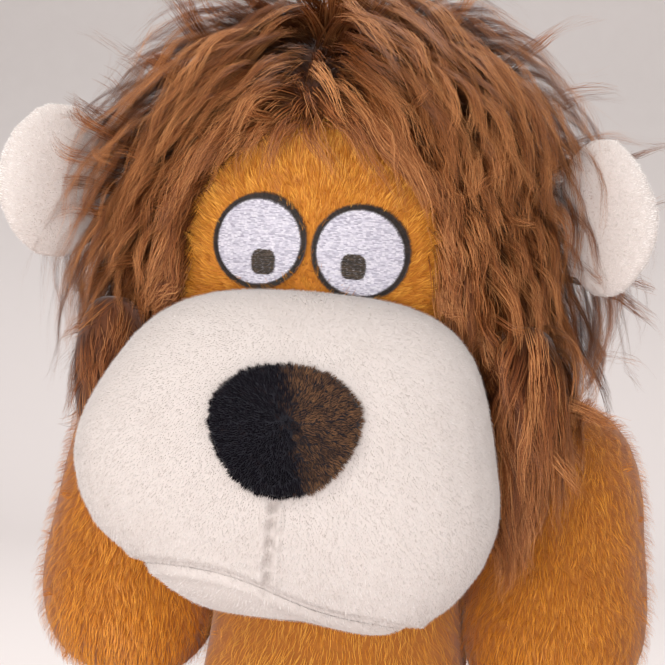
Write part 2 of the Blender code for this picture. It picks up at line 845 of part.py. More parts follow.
def make_mane(ear_grooves):
    arch = FACE_WIDTH / 2
    post = FACE_TOP - arch - MANE_BOTTOM
    front = Vector((HEAD_ASIDE, -SKULL_FORWARD - CUT_SPAN / 2, MANE_BOTTOM + post))
    window = cutter("face_window", bar(arch, CUT_SPAN, front, (0.0, -1.0, 0.0)))
    foot = block(
        "face_window_foot",
        (FACE_WIDTH, CUT_SPAN, 2 * post),
        Matrix.Translation(front - Vector((0.0, 0.0, post))),
    )
    piece(
        "mane_crown",
        crown,
        mane_fur,
        cuts=[skull_room, window, foot, muzzle_room, *ear_grooves],
        origin=neck_point,
    )
    crown_room = cutter("crown_room", grown(crown, GAP))
    for name, side in SIDES:
        lock = placed(
            soft_form((LOCK_WIDTH, LOCK_DEPTH, LOCK_HEIGHT), LOCK_SHARES, around=SMALL_SIDES),
            Matrix.Translation((HEAD_ASIDE + side * LOCK_SIDE, -LOCK_FORWARD, LOCK_BOTTOM)),
        )
        piece(
            f"mane_lock_{name}",
            lock,
            mane_fur,
            cuts=[skull_room, muzzle_room, crown_room],
            origin=neck_point,
        )

    nape = placed(
        soft_form((NAPE_WIDTH, NAPE_DEPTH, NAPE_HEIGHT), LOCK_SHARES, around=SMALL_SIDES),
        Matrix.Translation((HEAD_ASIDE, NAPE_BACKWARD, NAPE_BOTTOM)),
    )
    piece("mane_nape", nape, mane_fur, cuts=[skull_room, crown_room], origin=neck_point)


# Arms

def make_arms():
    for name, side in SIDES:
        point, axis = shoulder_frame(side)
        place = arm_place(side)
        form = arm_form(side)
        body_side = half_space(f"arm_seat_{name}", point + axis * GAP, -axis)

        def beyond(spot, centre=point, normal=axis):
            return (spot - centre).dot(normal) < -GAP

        piece(
            f"arm_cover_{name}",
            opened(form, beyond),
            orange_plush,
            wall=PLUSH_WALL,
            cuts=[body_side],
            origin=point,
        )
        shrink = 2 * (PLUSH_WALL + ARM_SLACK)
        filling = placed(
            soft_form((ARM_WIDTH - shrink, ARM_DEPTH - shrink, ARM_LENGTH - shrink), ARM_SHARES, level=0),
            place @ Matrix.Translation((0.0, 0.0, shrink / 2)),
        )
        piece(f"arm_stuffing_{name}", filling, fibre_fill, cuts=[body_side], origin=point)


# Legs

def make_legs():
    lift = Vector((0.0, 0.0, 1.0))
    for name, side in SIDES:
        point, axis = hip_frame(side)
        place = leg_place(side)
        form = leg_form(side)
        body_side = half_space(f"leg_seat_{name}", point + axis * GAP, -axis)
        ahead = (place.to_3x3() @ Vector((0.0, 0.0, 1.0))).normalized()
        tip = place @ Vector((0.0, 0.0, LEG_LENGTH - SOLE_CUT))
        past_sole = half_space(f"past_sole_{name}", tip, ahead)

        hollow = trimmed(grown(form, -PLUSH_WALL), [half_space("lining", lift * PLUSH_WALL, -lift)])
        inside = cutter(f"leg_inside_{name}", hollow)
        piece(
            f"leg_cover_{name}",
            form,
            orange_plush,
            cuts=[inside, below_floor, body_side, past_sole],
            origin=point,
        )
        under_lining = half_space(f"under_lining_{name}", lift * (PLUSH_WALL + GAP), -lift)
        behind = half_space(f"behind_{name}", tip - ahead * SOLE_WALL, -ahead)
        piece(
            f"sole_{name}",
            grown(form, -PLUSH_WALL - GAP),
            cream_minky,
            cuts=[behind, past_sole, under_lining],
            origin=point,
        )
        shrink = 2 * (PLUSH_WALL + WADDING_SLACK)
        behind_sole = half_space(f"behind_sole_{name}", tip - ahead * (SOLE_WALL + GAP), ahead)
        filling = placed(
            soft_form(
                (LEG_WIDTH - shrink, LEG_HEIGHT - shrink, LEG_LENGTH - shrink),
                LEG_SHARES,
                level=0,
            ),
            place @ Matrix.Translation((0.0, 0.0, shrink / 2)),
        )
        rooms = [body_side, behind_sole, under_lining]
        piece(f"leg_stuffing_{name}", filling, fibre_fill, cuts=rooms, origin=point)


# Tail

def tail_tube(name, radius, start, stop, filled):
    """A tube along the tail's curve, between two shares of its length."""
    curve = bpy.data.curves.new(name, "CURVE")
    curve.dimensions = "3D"
    curve.bevel_depth = radius
    curve.bevel_resolution = TAIL_BEVEL_COUNT
    curve.use_fill_caps = filled
    line = curve.splines.new("POLY")
    line.points.add(TAIL_POINT_COUNT - 1)
    for number, point in enumerate(line.points):
        share = start + (stop - start) * number / (TAIL_POINT_COUNT - 1)
        point.co = (*tail_spot(share), 1.0)
    thing = object_of(name, curve, guides)
    mesh = evaluated(thing)
    bpy.data.objects.remove(thing, do_unlink=True)

    def weld(bm):
        bmesh.ops.remove_doubles(bm, verts=bm.verts, dist=WELD)

    return reshaped(mesh, weld)


def tail_spot(share):
    """The middle of the tail at a share of its length, swept to one side as it leaves the body."""
    bend = share * math.pi / 2
    sideways = TAIL_SIDEWAYS * (1.0 - math.cos(bend))
    return Vector((-sideways, tail_root.y + TAIL_LENGTH * share, TAIL_HEIGHT))


def make_tail():
    lead = -(TAIL_ROOT_RADIUS - TAIL_LEAD) / TAIL_LENGTH
    cover = tail_tube("tail_skin", TAIL_RADIUS, lead, 1.0, False)
    piece("tail_cover", cover, orange_plush, wall=PLUSH_WALL, origin=tail_root)
    filling = tail_tube("tail_fill", TAIL_RADIUS - PLUSH_WALL - GAP, 0.0, 1.0, True)
    piece("tail_stuffing", filling, fibre_fill, origin=tail_root)
    end = tail_spot(1.0)
    way = (tail_spot(1.0) - tail_spot(1.0 - 1.0 / TAIL_POINT_COUNT)).normalized()
    place = (
        Matrix.Translation(end - way * TUFT_LAP)
        @ way.to_track_quat("Z", "Y").to_matrix().to_4x4()
    )
    tuft = placed(
        soft_form((TUFT_WIDTH, TUFT_WIDTH, TUFT_LENGTH), TUFT_SHARES, around=SMALL_SIDES), place
    )
    sleeve = bar(TAIL_RADIUS + GAP, 2 * TUFT_LAP, end - way * (TUFT_LAP - GAP), way)
    tip = cutter("tail_tip_room", sleeve)
    piece("tail_tuft", tuft, mane_fur, cuts=[tip, below_floor], origin=tail_root)


tail_root = surface_point(torso, Vector((0.0, CUT_SPAN, TAIL_HEIGHT)), Vector((0.0, -1.0, 0.0)))

make_neck()
make_torso()
make_head()
make_muzzle()
make_eyes()
make_mane(make_ears())
make_arms()
make_legs()
make_tail()
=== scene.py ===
# A seated plush lion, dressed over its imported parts: stuffed covers, sewn panels, stitched eyes, real pile.
import bpy
import bmesh
import math
import numpy as np
from mathutils import Matrix, Vector
from mathutils.bvhtree import BVHTree


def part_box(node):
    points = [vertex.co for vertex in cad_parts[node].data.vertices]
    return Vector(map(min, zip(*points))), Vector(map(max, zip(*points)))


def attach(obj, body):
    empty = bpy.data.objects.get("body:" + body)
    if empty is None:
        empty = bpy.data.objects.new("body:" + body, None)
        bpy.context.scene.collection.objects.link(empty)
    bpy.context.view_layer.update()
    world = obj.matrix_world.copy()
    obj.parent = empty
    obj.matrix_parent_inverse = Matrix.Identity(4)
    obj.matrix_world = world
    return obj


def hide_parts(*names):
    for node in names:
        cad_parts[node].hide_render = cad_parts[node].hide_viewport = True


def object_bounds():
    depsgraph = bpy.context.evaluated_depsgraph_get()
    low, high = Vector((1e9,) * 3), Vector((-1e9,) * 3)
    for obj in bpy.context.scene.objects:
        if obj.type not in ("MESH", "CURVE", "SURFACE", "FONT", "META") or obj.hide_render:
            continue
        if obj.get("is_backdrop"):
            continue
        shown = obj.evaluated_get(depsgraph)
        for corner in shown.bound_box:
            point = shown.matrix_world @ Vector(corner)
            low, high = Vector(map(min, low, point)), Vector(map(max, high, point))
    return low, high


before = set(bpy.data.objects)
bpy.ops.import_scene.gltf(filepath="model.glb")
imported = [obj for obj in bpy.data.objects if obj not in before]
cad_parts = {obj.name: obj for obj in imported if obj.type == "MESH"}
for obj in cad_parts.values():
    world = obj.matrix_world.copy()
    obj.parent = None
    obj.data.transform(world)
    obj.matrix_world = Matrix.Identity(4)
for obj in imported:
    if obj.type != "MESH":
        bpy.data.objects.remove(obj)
cad_low, cad_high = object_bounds()
scene = bpy.context.scene
MM = 0.001
SIDES = ("left", "right")

# Camera
CAMERA_AIM = (0.0106, -0.130, 0.2659)
CAMERA_AZIMUTH = 6.5
CAMERA_ELEVATION = -0.5
CAMERA_ROLL = -4.4
CAMERA_DISTANCE = 0.872
CAMERA_LENS = 118.6

# Colours, linear: dark, middle and light of each pile and thread
MANE_TONES = (0.10, 0.024, 0.006), (0.285, 0.082, 0.020), (0.61, 0.27, 0.10)
BODY_TONES = (0.54, 0.165, 0.012), (0.86, 0.34, 0.033), (0.99, 0.52, 0.09)
FACE_TONES = (0.42, 0.115, 0.008), (0.61, 0.225, 0.016), (0.92, 0.46, 0.07)
CREAM_TONES = (0.52, 0.455, 0.42), (0.605, 0.55, 0.52), (0.70, 0.65, 0.62)
# The ear's dark tone is a brown painted shade, laid on the inner edge of each ear beside the mane.
EAR_TONES = (0.30, 0.13, 0.05), (0.84, 0.78, 0.74), (0.90, 0.86, 0.83)
NOSE_TONES = (0.003, 0.003, 0.006), (0.009, 0.008, 0.013), (0.21, 0.105, 0.05)
WHITE_TONES = (0.40, 0.375, 0.46), (0.72, 0.69, 0.77), (0.90, 0.87, 0.92)
RIM_TONES = (0.008, 0.004, 0.003), (0.016, 0.009, 0.006), (0.040, 0.024, 0.017)
PUPIL_TONES = (0.014, 0.009, 0.005), (0.036, 0.022, 0.012), (0.10, 0.066, 0.040)
THREADS = 900.0
PLIES = 2600.0


def mesh_object(name, mesh):
    made = bpy.data.objects.new(name, mesh)
    scene.collection.objects.link(made)
    return made


def drop(*things):
    for thing in things:
        bpy.data.objects.remove(thing, do_unlink=True)


def applied(thing):
    """The object's mesh with its modifiers applied."""
    bpy.context.view_layer.update()
    graph = bpy.context.evaluated_depsgraph_get()
    mesh = bpy.data.meshes.new_from_object(thing.evaluated_get(graph))
    thing.modifiers.clear()
    thing.data = mesh
    return thing


def points_of(mesh):
    co = np.zeros(len(mesh.vertices) * 3, np.float32)
    mesh.vertices.foreach_get("co", co)
    return co.reshape(-1, 3).astype(float)


def normals_of(mesh):
    found = np.zeros(len(mesh.vertices) * 3, np.float32)
    mesh.vertex_normals.foreach_get("vector", found)
    return found.reshape(-1, 3).astype(float)


def set_points(mesh, co):
    mesh.vertices.foreach_set("co", co.astype(np.float32).ravel())
    mesh.update()


def write(mesh, name, values):
    """A point attribute, of one number or three per point."""
    values = np.asarray(values, np.float32)
    kind, key = ("FLOAT_VECTOR", "vector") if values.ndim == 2 else ("FLOAT", "value")
    layer = mesh.attributes.get(name) or mesh.attributes.new(name, kind, "POINT")
    layer.data.foreach_set(key, values.ravel())


def unit(v):
    return v / np.maximum(np.linalg.norm(v, axis=-1, keepdims=True), 1e-9)


def along_surface(flow, normals):
    """The part of each flow that lies in the surface, as a unit vector."""
    return unit(flow - normals * np.sum(flow * normals, axis=1, keepdims=True))


def step(x, low, high):
    t = np.clip((x - low) / (high - low), 0.0, 1.0)
    return t * t * (3 - 2 * t)


# Node trees

class Wiring:
    """Short hands to lay nodes in a tree and join them up."""

    def __init__(self, tree):
        self.tree = tree

    def node(self, kind, *wires, named=None, **settings):
        made = self.tree.nodes.new(kind)
        for key, value in settings.items():
            setattr(made, key, value)
        self.feed(made, {**dict(enumerate(wires)), **(named or {})})
        return made

    def feed(self, made, values):
        """Joins or sets inputs of a node; None leaves one as it is."""
        for key, value in values.items():
            if isinstance(value, bpy.types.NodeSocket):
                self.tree.links.new(value, made.inputs[key])
            elif value is not None:
                made.inputs[key].default_value = value

    def maths(self, operation, *wires):
        return self.node("ShaderNodeMath", *wires, operation=operation).outputs[0]

    def vector(self, operation, *wires):
        made = self.node("ShaderNodeVectorMath", *wires, operation=operation)
        return made.outputs[1 if operation in ("DOT_PRODUCT", "LENGTH", "DISTANCE") else 0]

    def times(self, vector, scale):
        return self.node("ShaderNodeVectorMath", vector, named={3: scale}, operation="SCALE").outputs[0]

    def plus(self, first, *others):
        for other in others:
            first = self.vector("ADD", first, other)
        return first

    def product(self, first, *others):
        for other in others:
            first = self.maths("MULTIPLY", first, other)
        return first

    def left_of(self, value):
        """What is left of one."""
        return self.maths("SUBTRACT", 1.0, value)

    def read(self, name, kind="FLOAT"):
        return self.node("GeometryNodeInputNamedAttribute", name, data_type=kind).outputs[0]

    def arrow(self, name):
        return self.read(name, "FLOAT_VECTOR")

    def store(self, geometry, name, value, kind="FLOAT", domain="POINT"):
        return self.node(
            "GeometryNodeStoreNamedAttribute", geometry, None, name, value, data_type=kind, domain=domain
        ).outputs[0]

    def chance(self, low, high, seed, salt):
        return self.node(
            "FunctionNodeRandomValue", named={2: low, 3: high, 8: self.maths("ADD", seed, salt)}
        ).outputs[1]

    def here(self):
        return self.node("GeometryNodeInputPosition").outputs[0]

    def in_object(self):
        return self.node("ShaderNodeTexCoord").outputs["Object"]

    def in_map(self):
        """The map's column and height, which pick a fibre's tint and the place along it."""
        place = self.node("ShaderNodeUVMap", uv_map="OFBake").outputs[0]
        return self.node("ShaderNodeSeparateXYZ", place).outputs[:2]

    def spread_over(self, factor, low, high):
        return self.node("ShaderNodeMapRange", factor, named={3: low, 4: high}).outputs[0]

    def bumped(self, relief, strength, distance):
        named = {"Height": relief, "Strength": strength, "Distance": distance}
        return self.node("ShaderNodeBump", named=named).outputs[0]

    def noise(self, place, scale, detail=0.0):
        """Three smooth noises about zero."""
        made = self.node("ShaderNodeTexNoise", place, named={2: scale, 3: detail}, noise_dimensions="3D")
        return self.vector("SUBTRACT", made.outputs[1], (0.5, 0.5, 0.5))

    def move(self, geometry, chosen=None, place=None, offset=None):
        return self.node("GeometryNodeSetPosition", geometry, chosen, place, offset).outputs[0]


def new_tree(name, numbers, others):
    """A geometry tree with named inputs, and its wiring and sockets."""
    tree = bpy.data.node_groups.new(name, "GeometryNodeTree")
    tree.interface.new_socket("Made", in_out="OUTPUT", socket_type="NodeSocketGeometry")
    tree.interface.new_socket("Cloth", in_out="INPUT", socket_type="NodeSocketGeometry")
    for label, value in numbers.items():
        made = tree.interface.new_socket(label, in_out="INPUT", socket_type="NodeSocketFloat")
        made.default_value = value
    for label, kind in others.items():
        tree.interface.new_socket(label, in_out="INPUT", socket_type="NodeSocket" + kind)
    wiring = Wiring(tree)
    return tree, wiring, wiring.node("NodeGroupInput").outputs


def finished(w, geometry, finish):
    geometry = w.node("GeometryNodeSetShadeSmooth", geometry, None, True).outputs[0]
    geometry = w.node("GeometryNodeRealizeInstances", geometry).outputs[0]
    w.node("NodeGroupOutput", w.node("GeometryNodeSetMaterial", geometry, None, finish).outputs[0])


def forget(w, geometry, *names):
    for name in names:
        geometry = w.node("GeometryNodeRemoveAttribute", geometry, name).outputs[0]
    return geometry


def scattered(w, cloth, density, seed, salt):
    """Root points on the cloth, each with its place and the way the cloth faces there."""
    spread = w.node(
        "GeometryNodeDistributePointsOnFaces",
        cloth,
        named={4: w.product(density, w.read("keep")), 6: w.maths("ADD", seed, salt)},
    )
    made = w.store(spread.outputs[0], "root", w.here(), "FLOAT_VECTOR")
    return w.store(made, "out", spread.outputs[1], "FLOAT_VECTOR")


HAIR_CEILING = 426 * MM  # hair that would stand higher than this bends over
CEILING_PRESS = 0.65
STRAY_LIFT = 0.4
STRAY_WEIGHT = 1.4
STRAY_COMB = 0.7
STRAY_STRIDE = 0.4


def hair_tree(name, rows):
    """Grows combed hair: a few guide hairs walk over the cloth, and the pile follows them in locks."""
    labels = (
        "Guides", "Strands", "Stride", "Lift", "Layer", "Fall", "Wave", "Wave scale", "Gather", "Frizz",
        "Thickness", "Tint spread", "Strays",
    )
    numbers = dict.fromkeys(labels, 0.0)
    others = {"Seed": "Int", "Finish": "Material", "Keep clear of": "Object"}
    tree, w, given = new_tree(name, numbers, others)
    seed = given["Seed"]
    cloth = given["Cloth"]
    segments = rows - 1
    info = w.node("GeometryNodeObjectInfo", given["Keep clear of"], transform_space="ORIGINAL")
    obstacle = info.outputs["Geometry"]
    facing = w.node("GeometryNodeInputNormal").outputs[0]

    def planted(points):
        """A line of rows on each point, all of it at the root."""
        line = w.node("GeometryNodeCurvePrimitiveLine", (0, 0, 0), (0, 0, 1), mode="POINTS")
        line = w.node("GeometryNodeResampleCurve", line.outputs[0], None, rows, mode="COUNT")
        lines = w.node("GeometryNodeInstanceOnPoints", points, None, line.outputs[0])
        lines = w.node("GeometryNodeRealizeInstances", lines.outputs[0]).outputs[0]
        return w.move(lines, None, w.arrow("root"))

    guide_roots = scattered(w, cloth, given["Guides"], seed, 1)
    guide_roots = w.store(guide_roots, "layer", w.maths("POWER", w.chance(0.02, 1.0, seed, 3), 0.6))
    guide_roots = w.store(guide_roots, "shade", w.chance(-0.4, 0.4, seed, 4))
    stray = w.maths("LESS_THAN", w.chance(0.0, 1.0, seed, 5), given["Strays"])
    guide_roots = w.store(guide_roots, "stray", stray)
    walk = w.node("GeometryNodeRepeatInput")
    end = w.node("GeometryNodeRepeatOutput")
    walk.pair_with_output(end)
    walk.inputs["Iterations"].default_value = segments
    w.tree.links.new(planted(guide_roots), walk.inputs["Geometry"])
    turn = walk.outputs["Iteration"]
    share = w.maths("DIVIDE", turn, float(segments))
    left_over = w.left_of(share)

    def nearest(mesh, value):
        return w.node(
            "GeometryNodeSampleNearestSurface", mesh, value, None, w.here(), data_type="FLOAT_VECTOR"
        ).outputs[0]

    comb = nearest(cloth, w.arrow("comb"))
    out = nearest(cloth, facing)
    lift = w.product(given["Lift"], left_over, left_over)
    lift = w.maths("ADD", lift, w.product(w.read("stray"), STRAY_LIFT))
    weight = w.left_of(w.product(w.read("stray"), STRAY_WEIGHT))
    fall = w.product(given["Fall"], w.maths("ADD", 0.2, share), weight)
    shared = w.noise(w.here(), given["Wave scale"], 1.0)
    own = w.noise(w.plus(w.here(), w.times(w.arrow("root"), 40.0)), w.product(given["Wave scale"], 2.0))
    wave = w.plus(shared, own)
    wave = w.times(wave, w.product(given["Wave"], w.maths("ADD", 0.35, share), 4.0))
    comb = w.times(comb, w.left_of(w.product(w.read("stray"), STRAY_COMB)))
    heading = w.plus(comb, w.times(out, lift), w.times((0, 0, -1), fall), wave)
    stray_stride = w.left_of(w.product(w.read("stray"), STRAY_STRIDE))
    stride = w.product(given["Stride"], w.read("pile"), stray_stride)
    moved = w.plus(w.here(), w.times(w.vector("NORMALIZE", heading), stride))
    row_number = w.node("GeometryNodeSplineParameter").outputs[2]
    ahead = w.maths("GREATER_THAN", row_number, turn)
    walked = w.move(walk.outputs["Geometry"], ahead, moved)
    near = w.node("GeometryNodeProximity", obstacle, None, w.here(), target_element="FACES").outputs[0]
    near_out = nearest(obstacle, facing)
    depth = w.vector("DOT_PRODUCT", w.vector("SUBTRACT", w.here(), near), near_out)
    rise = w.maths("MINIMUM", w.product(w.maths("ADD", turn, 1.0), 3.0 / segments), 1.0)
    floor = w.product(w.read("layer"), given["Layer"], rise, w.maths("POWER", w.read("pile"), 0.5))
    push = w.maths("MAXIMUM", w.maths("SUBTRACT", floor, depth), 0.0)
    w.tree.links.new(w.move(walked, ahead, None, w.times(near_out, push)), end.inputs["Geometry"])
    guides = end.outputs["Geometry"]

    strand_roots = scattered(w, cloth, given["Strands"], seed, 2)
    mine = w.node("GeometryNodeSampleNearest", guide_roots, w.here(), domain="POINT").outputs[0]
    strand_roots = w.store(strand_roots, "guide", mine, "INT")
    guide = w.read("guide", "INT")

    def of_guide(geometry, value, index, kind="FLOAT_VECTOR"):
        return w.node(
            "GeometryNodeSampleIndex", geometry, value, index, data_type=kind, domain="POINT"
        ).outputs[0]

    aside = w.vector("SUBTRACT", w.arrow("root"), of_guide(guide_roots, w.arrow("root"), guide))
    strand_roots = w.store(strand_roots, "aside", aside, "FLOAT_VECTOR")
    strand_roots = w.store(strand_roots, "reach", w.chance(0.45, 1.0, seed, 6))
    strand_roots = w.store(strand_roots, "bond", w.chance(0.2, 1.2, seed, 7))
    shade = of_guide(guide_roots, w.read("shade"), guide, "FLOAT")
    shade = w.maths("ADD", shade, w.chance(-0.6, 0.6, seed, 8))
    shade = w.maths("ADD", w.read("tint"), w.product(shade, given["Tint spread"]))
    shade = w.maths("MINIMUM", w.maths("MAXIMUM", shade, 0.02), 0.98)
    strand_roots = w.store(strand_roots, "shade", shade)
    tilt = w.node(
        "FunctionNodeRandomValue",
        named={0: (-0.8, -0.8, -0.8), 1: (0.8, 0.8, 0.8), 8: seed},
        data_type="FLOAT_VECTOR",
    ).outputs[0]
    strand_roots = w.store(strand_roots, "tilt", tilt, "FLOAT_VECTOR")
    strands = planted(strand_roots)
    factor = w.node("GeometryNodeSplineParameter").outputs[0]
    row = w.product(factor, w.read("reach"), float(segments))
    lower = w.maths("MINIMUM", w.maths("FLOOR", row), segments - 1.0)
    index = w.maths("ADD", w.product(guide, float(rows)), lower)
    low_point = of_guide(guides, w.here(), index)
    high_point = of_guide(guides, w.here(), w.maths("ADD", index, 1.0))
    rest = w.maths("SUBTRACT", row, lower)
    follow = w.plus(low_point, w.times(w.vector("SUBTRACT", high_point, low_point), rest))
    gather = w.product(given["Gather"], w.read("bond"), w.maths("POWER", factor, 0.8))
    spread = w.times(w.arrow("aside"), w.left_of(gather))
    frizz = w.noise(w.plus(follow, w.times(w.arrow("root"), 9.0)), 90.0, 1.0)
    frizz = w.times(frizz, w.product(given["Frizz"], 4.0, factor))
    strands = w.move(strands, None, w.plus(follow, spread, frizz))
    height = w.node("ShaderNodeSeparateXYZ", w.here()).outputs[2]
    over = w.maths("MAXIMUM", w.maths("SUBTRACT", height, HAIR_CEILING), 0.0)
    strands = w.move(strands, None, None, w.times((0, 0, -CEILING_PRESS), over))
    thinning = w.maths("POWER", w.left_of(factor), 0.7)
    thick = w.product(given["Thickness"], w.maths("ADD", 0.12, w.product(0.88, thinning)))
    tangent = w.node("GeometryNodeInputTangent").outputs[0]
    facing_out = w.plus(w.arrow("out"), w.arrow("tilt"))
    side = w.vector("NORMALIZE", w.vector("CROSS_PRODUCT", tangent, facing_out))
    strands = w.node("GeometryNodeSetCurveNormal", strands, None, side, mode="FREE").outputs[0]
    strands = w.store(strands, "up_hair", factor)
    flat = w.node("GeometryNodeCurvePrimitiveLine", (-0.5, 0, 0), (0.5, 0, 0), mode="POINTS").outputs[0]
    flat = w.store(flat, "across", w.node("GeometryNodeSplineParameter").outputs[0])
    ribbon = w.node("GeometryNodeCurveToMesh", strands, flat, thick).outputs[0]
    across = w.product(w.maths("SUBTRACT", w.read("across"), 0.5), 0.004)
    place = w.node("ShaderNodeCombineXYZ", w.maths("ADD", w.read("shade"), across), w.read("up_hair"), 0.0)
    ribbon = w.store(ribbon, "OFBake", place.outputs[0], "FLOAT2", "CORNER")
    spent = (
        "root", "out", "guide", "aside", "reach", "bond", "shade", "tilt", "up_hair", "across",
        "comb", "pile", "keep", "tint",
    )
    finished(w, forget(w, ribbon, *spent), given["Finish"])
    return tree


# Base forms

SKIN_GROWTH = 2 * MM
SEAM_PLAY = 0.2 * MM
WELD = 0.01 * MM


def opened_up(*meshes):
    """One bmesh of the meshes."""
    work = bmesh.new()
    for mesh in meshes:
        work.from_mesh(mesh)
    return work


def closed_up(work, mesh):
    """Writes the bmesh into the mesh and frees it."""
    work.to_mesh(mesh)
    work.free()
    return mesh


def welded(node):
    """A CAD node's mesh with its split corners joined."""
    work = opened_up(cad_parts[node].data)
    bmesh.ops.remove_doubles(work, verts=work.verts, dist=WELD)
    return closed_up(work, bpy.data.meshes.new(node))


def largest_island(mesh):
    """Drops every loose pocket that a remesh leaves inside a form."""
    work = opened_up(mesh)
    left = set(work.verts)
    islands = []
    while left:
        island, front = set(), [left.pop()]
        while front:
            vertex = front.pop()
            island.add(vertex)
            for edge in vertex.link_edges:
                other = edge.other_vert(vertex)
                if other in left:
                    left.remove(other)
                    front.append(other)
        islands.append(island)
    islands.sort(key=len)
    bmesh.ops.delete(work, geom=[v for island in islands[:-1] for v in island], context="VERTS")
    closed_up(work, mesh)


def remeshed(thing, cell, rounds):
    voxels = thing.modifiers.new("even_cells", "REMESH")
    voxels.mode, voxels.voxel_size = "VOXEL", cell
    smooth = thing.modifiers.new("soften", "SMOOTH")
    smooth.factor, smooth.iterations = 0.5, rounds
    applied(thing)
    largest_island(thing.data)
    return thing


def joined(name, meshes, cell, rounds):
    """One closed form of the meshes."""
    mesh = closed_up(opened_up(*meshes), bpy.data.meshes.new(name))
    return remeshed(mesh_object(name, mesh), cell, rounds)


def stuffed_form(name, covers, fillings=(), cell=4 * MM, rounds=3):
    """One closed form around the named nodes: each filling grows, so that it fuses with its cover."""
    meshes = [welded(node) for node in covers]
    for node in fillings:
        filling = welded(node)
        set_points(filling, points_of(filling) + normals_of(filling) * SKIN_GROWTH)
        meshes.append(filling)
    return joined(name, meshes, cell, rounds)


def plumped(thing, cap, pressure=4.0):
    """Blows the cover up from inside as cloth; no point moves further than the cap."""
    sewn = points_of(thing.data)
    cloth = thing.modifiers.new("filling", "CLOTH").settings
    cloth.use_pressure = True
    cloth.uniform_pressure_force = pressure
    cloth.effector_weights.gravity = 0
    for number in range(1, 21):
        scene.frame_set(number)
    applied(thing)
    scene.frame_set(1)
    moved = points_of(thing.data) - sewn
    far = np.linalg.norm(moved, axis=1, keepdims=True)
    set_points(thing.data, sewn + moved * np.minimum(1.0, cap / np.maximum(far, 1e-9)))
    keep_above_floor(thing)
    return thing


def keep_above_floor(thing, height=0.0):
    co = points_of(thing.data)
    co[:, 2] = np.maximum(co[:, 2], height)
    set_points(thing.data, co)


def rounded(thing, levels=1):
    subdivision = thing.modifiers.new("round", "SUBSURF")
    subdivision.levels = subdivision.render_levels = levels
    applied(thing)
    keep_above_floor(thing)
    thing.data.shade_smooth()
    return thing


def pressed_in(mesh, away, width, depth, where=1.0):
    """Pulls a sewn line into a form, with the stuffing swollen beside it: away is each point's distance."""
    shore = np.exp(-(((np.abs(away) - 2.4 * width) / width) ** 2))
    groove = depth * (np.exp(-((away / width) ** 2)) - 0.45 * shore) * where
    set_points(mesh, points_of(mesh) - normals_of(mesh) * groove[:, None])


def half_of(name, mesh, point, normal):
    """The part of a closed mesh behind a plane, closed again along the cut."""
    work = opened_up(mesh)
    everything = [*work.verts, *work.edges, *work.faces]
    bmesh.ops.bisect_plane(work, geom=everything, plane_co=point, plane_no=normal, clear_outer=True)
    bmesh.ops.holes_fill(work, edges=[edge for edge in work.edges if edge.is_boundary])
    made = closed_up(work, bpy.data.meshes.new(name))
    made.shade_smooth()
    return mesh_object(name, made)


def dressed(thing, finish, body, replaced=()):
    """Gives a piece its finish and its body, and hides the nodes that it stands for."""
    thing.data.materials.clear()
    thing.data.materials.append(finish)
    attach(thing, body)
    if replaced:
        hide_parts(*replaced)
    return thing


def modified(thing, tree, settings):
    """Runs a geometry tree on a thing, its inputs given by their labels."""
    run = thing.modifiers.new("made", "NODES")
    run.node_group = tree
    labels = {item.name: item for item in tree.interface.items_tree if item.in_out == "INPUT"}
    for label, value in settings.items():
        item = labels[label]
        run[item.identifier] = float(value) if item.socket_type == "NodeSocketFloat" else value
    return applied(thing)


def pile_on(name, form, tree, finish, comb, pile=1.0, keep=1.0, tint=0.5, clear_of=None, seed=1, **settings):
    """Pile of one region of a form: comb is the way it lies, pile its length, keep its density."""
    mesh = form.data.copy()
    count = len(mesh.vertices)
    lie = along_surface(np.broadcast_to(comb, (count, 3)).astype(float), normals_of(mesh))
    write(mesh, "comb", lie)
    for label, value in (("pile", pile), ("keep", keep), ("tint", tint)):
        write(mesh, label, np.broadcast_to(value, count))
    thing = mesh_object(name, mesh)
    labelled = {key.replace("_", " ").capitalize(): value for key, value in settings.items()}
    return modified(
        thing, tree, {**labelled, "Seed": seed, "Finish": finish, "Keep clear of": clear_of or form}
    )


# Finishes

def new_finish(name):
    finish = bpy.data.materials.new(name)
    finish.use_nodes = True
    tree = finish.node_tree
    tree.nodes.clear()
    w = Wiring(tree)
    shader = w.node("ShaderNodeBsdfPrincipled")
    w.node("ShaderNodeOutputMaterial", shader.outputs[0])
    return finish, w, shader


def ramp(w, factor, *stops):
    """Colours along a factor: each stop is a place and a linear colour."""
    made = w.node("ShaderNodeValToRGB", factor)
    elements = made.color_ramp.elements
    while len(elements) < len(stops):
        elements.new(0.5)
    for element, (place, colour) in zip(elements, stops):
        element.position = place
        element.color = (*colour, 1.0)
    return made.outputs[0]


def blended(w, factor, first, second, how="MIX"):
    """Mixes two colours, each of them a socket or a linear colour."""
    first, second = (c if isinstance(c, bpy.types.NodeSocket) else (*c, 1.0) for c in (first, second))
    made = w.node("ShaderNodeMix", data_type="RGBA", blend_type=how)
    w.feed(made, {0: factor, 6: first, 7: second})
    return made.outputs[2]


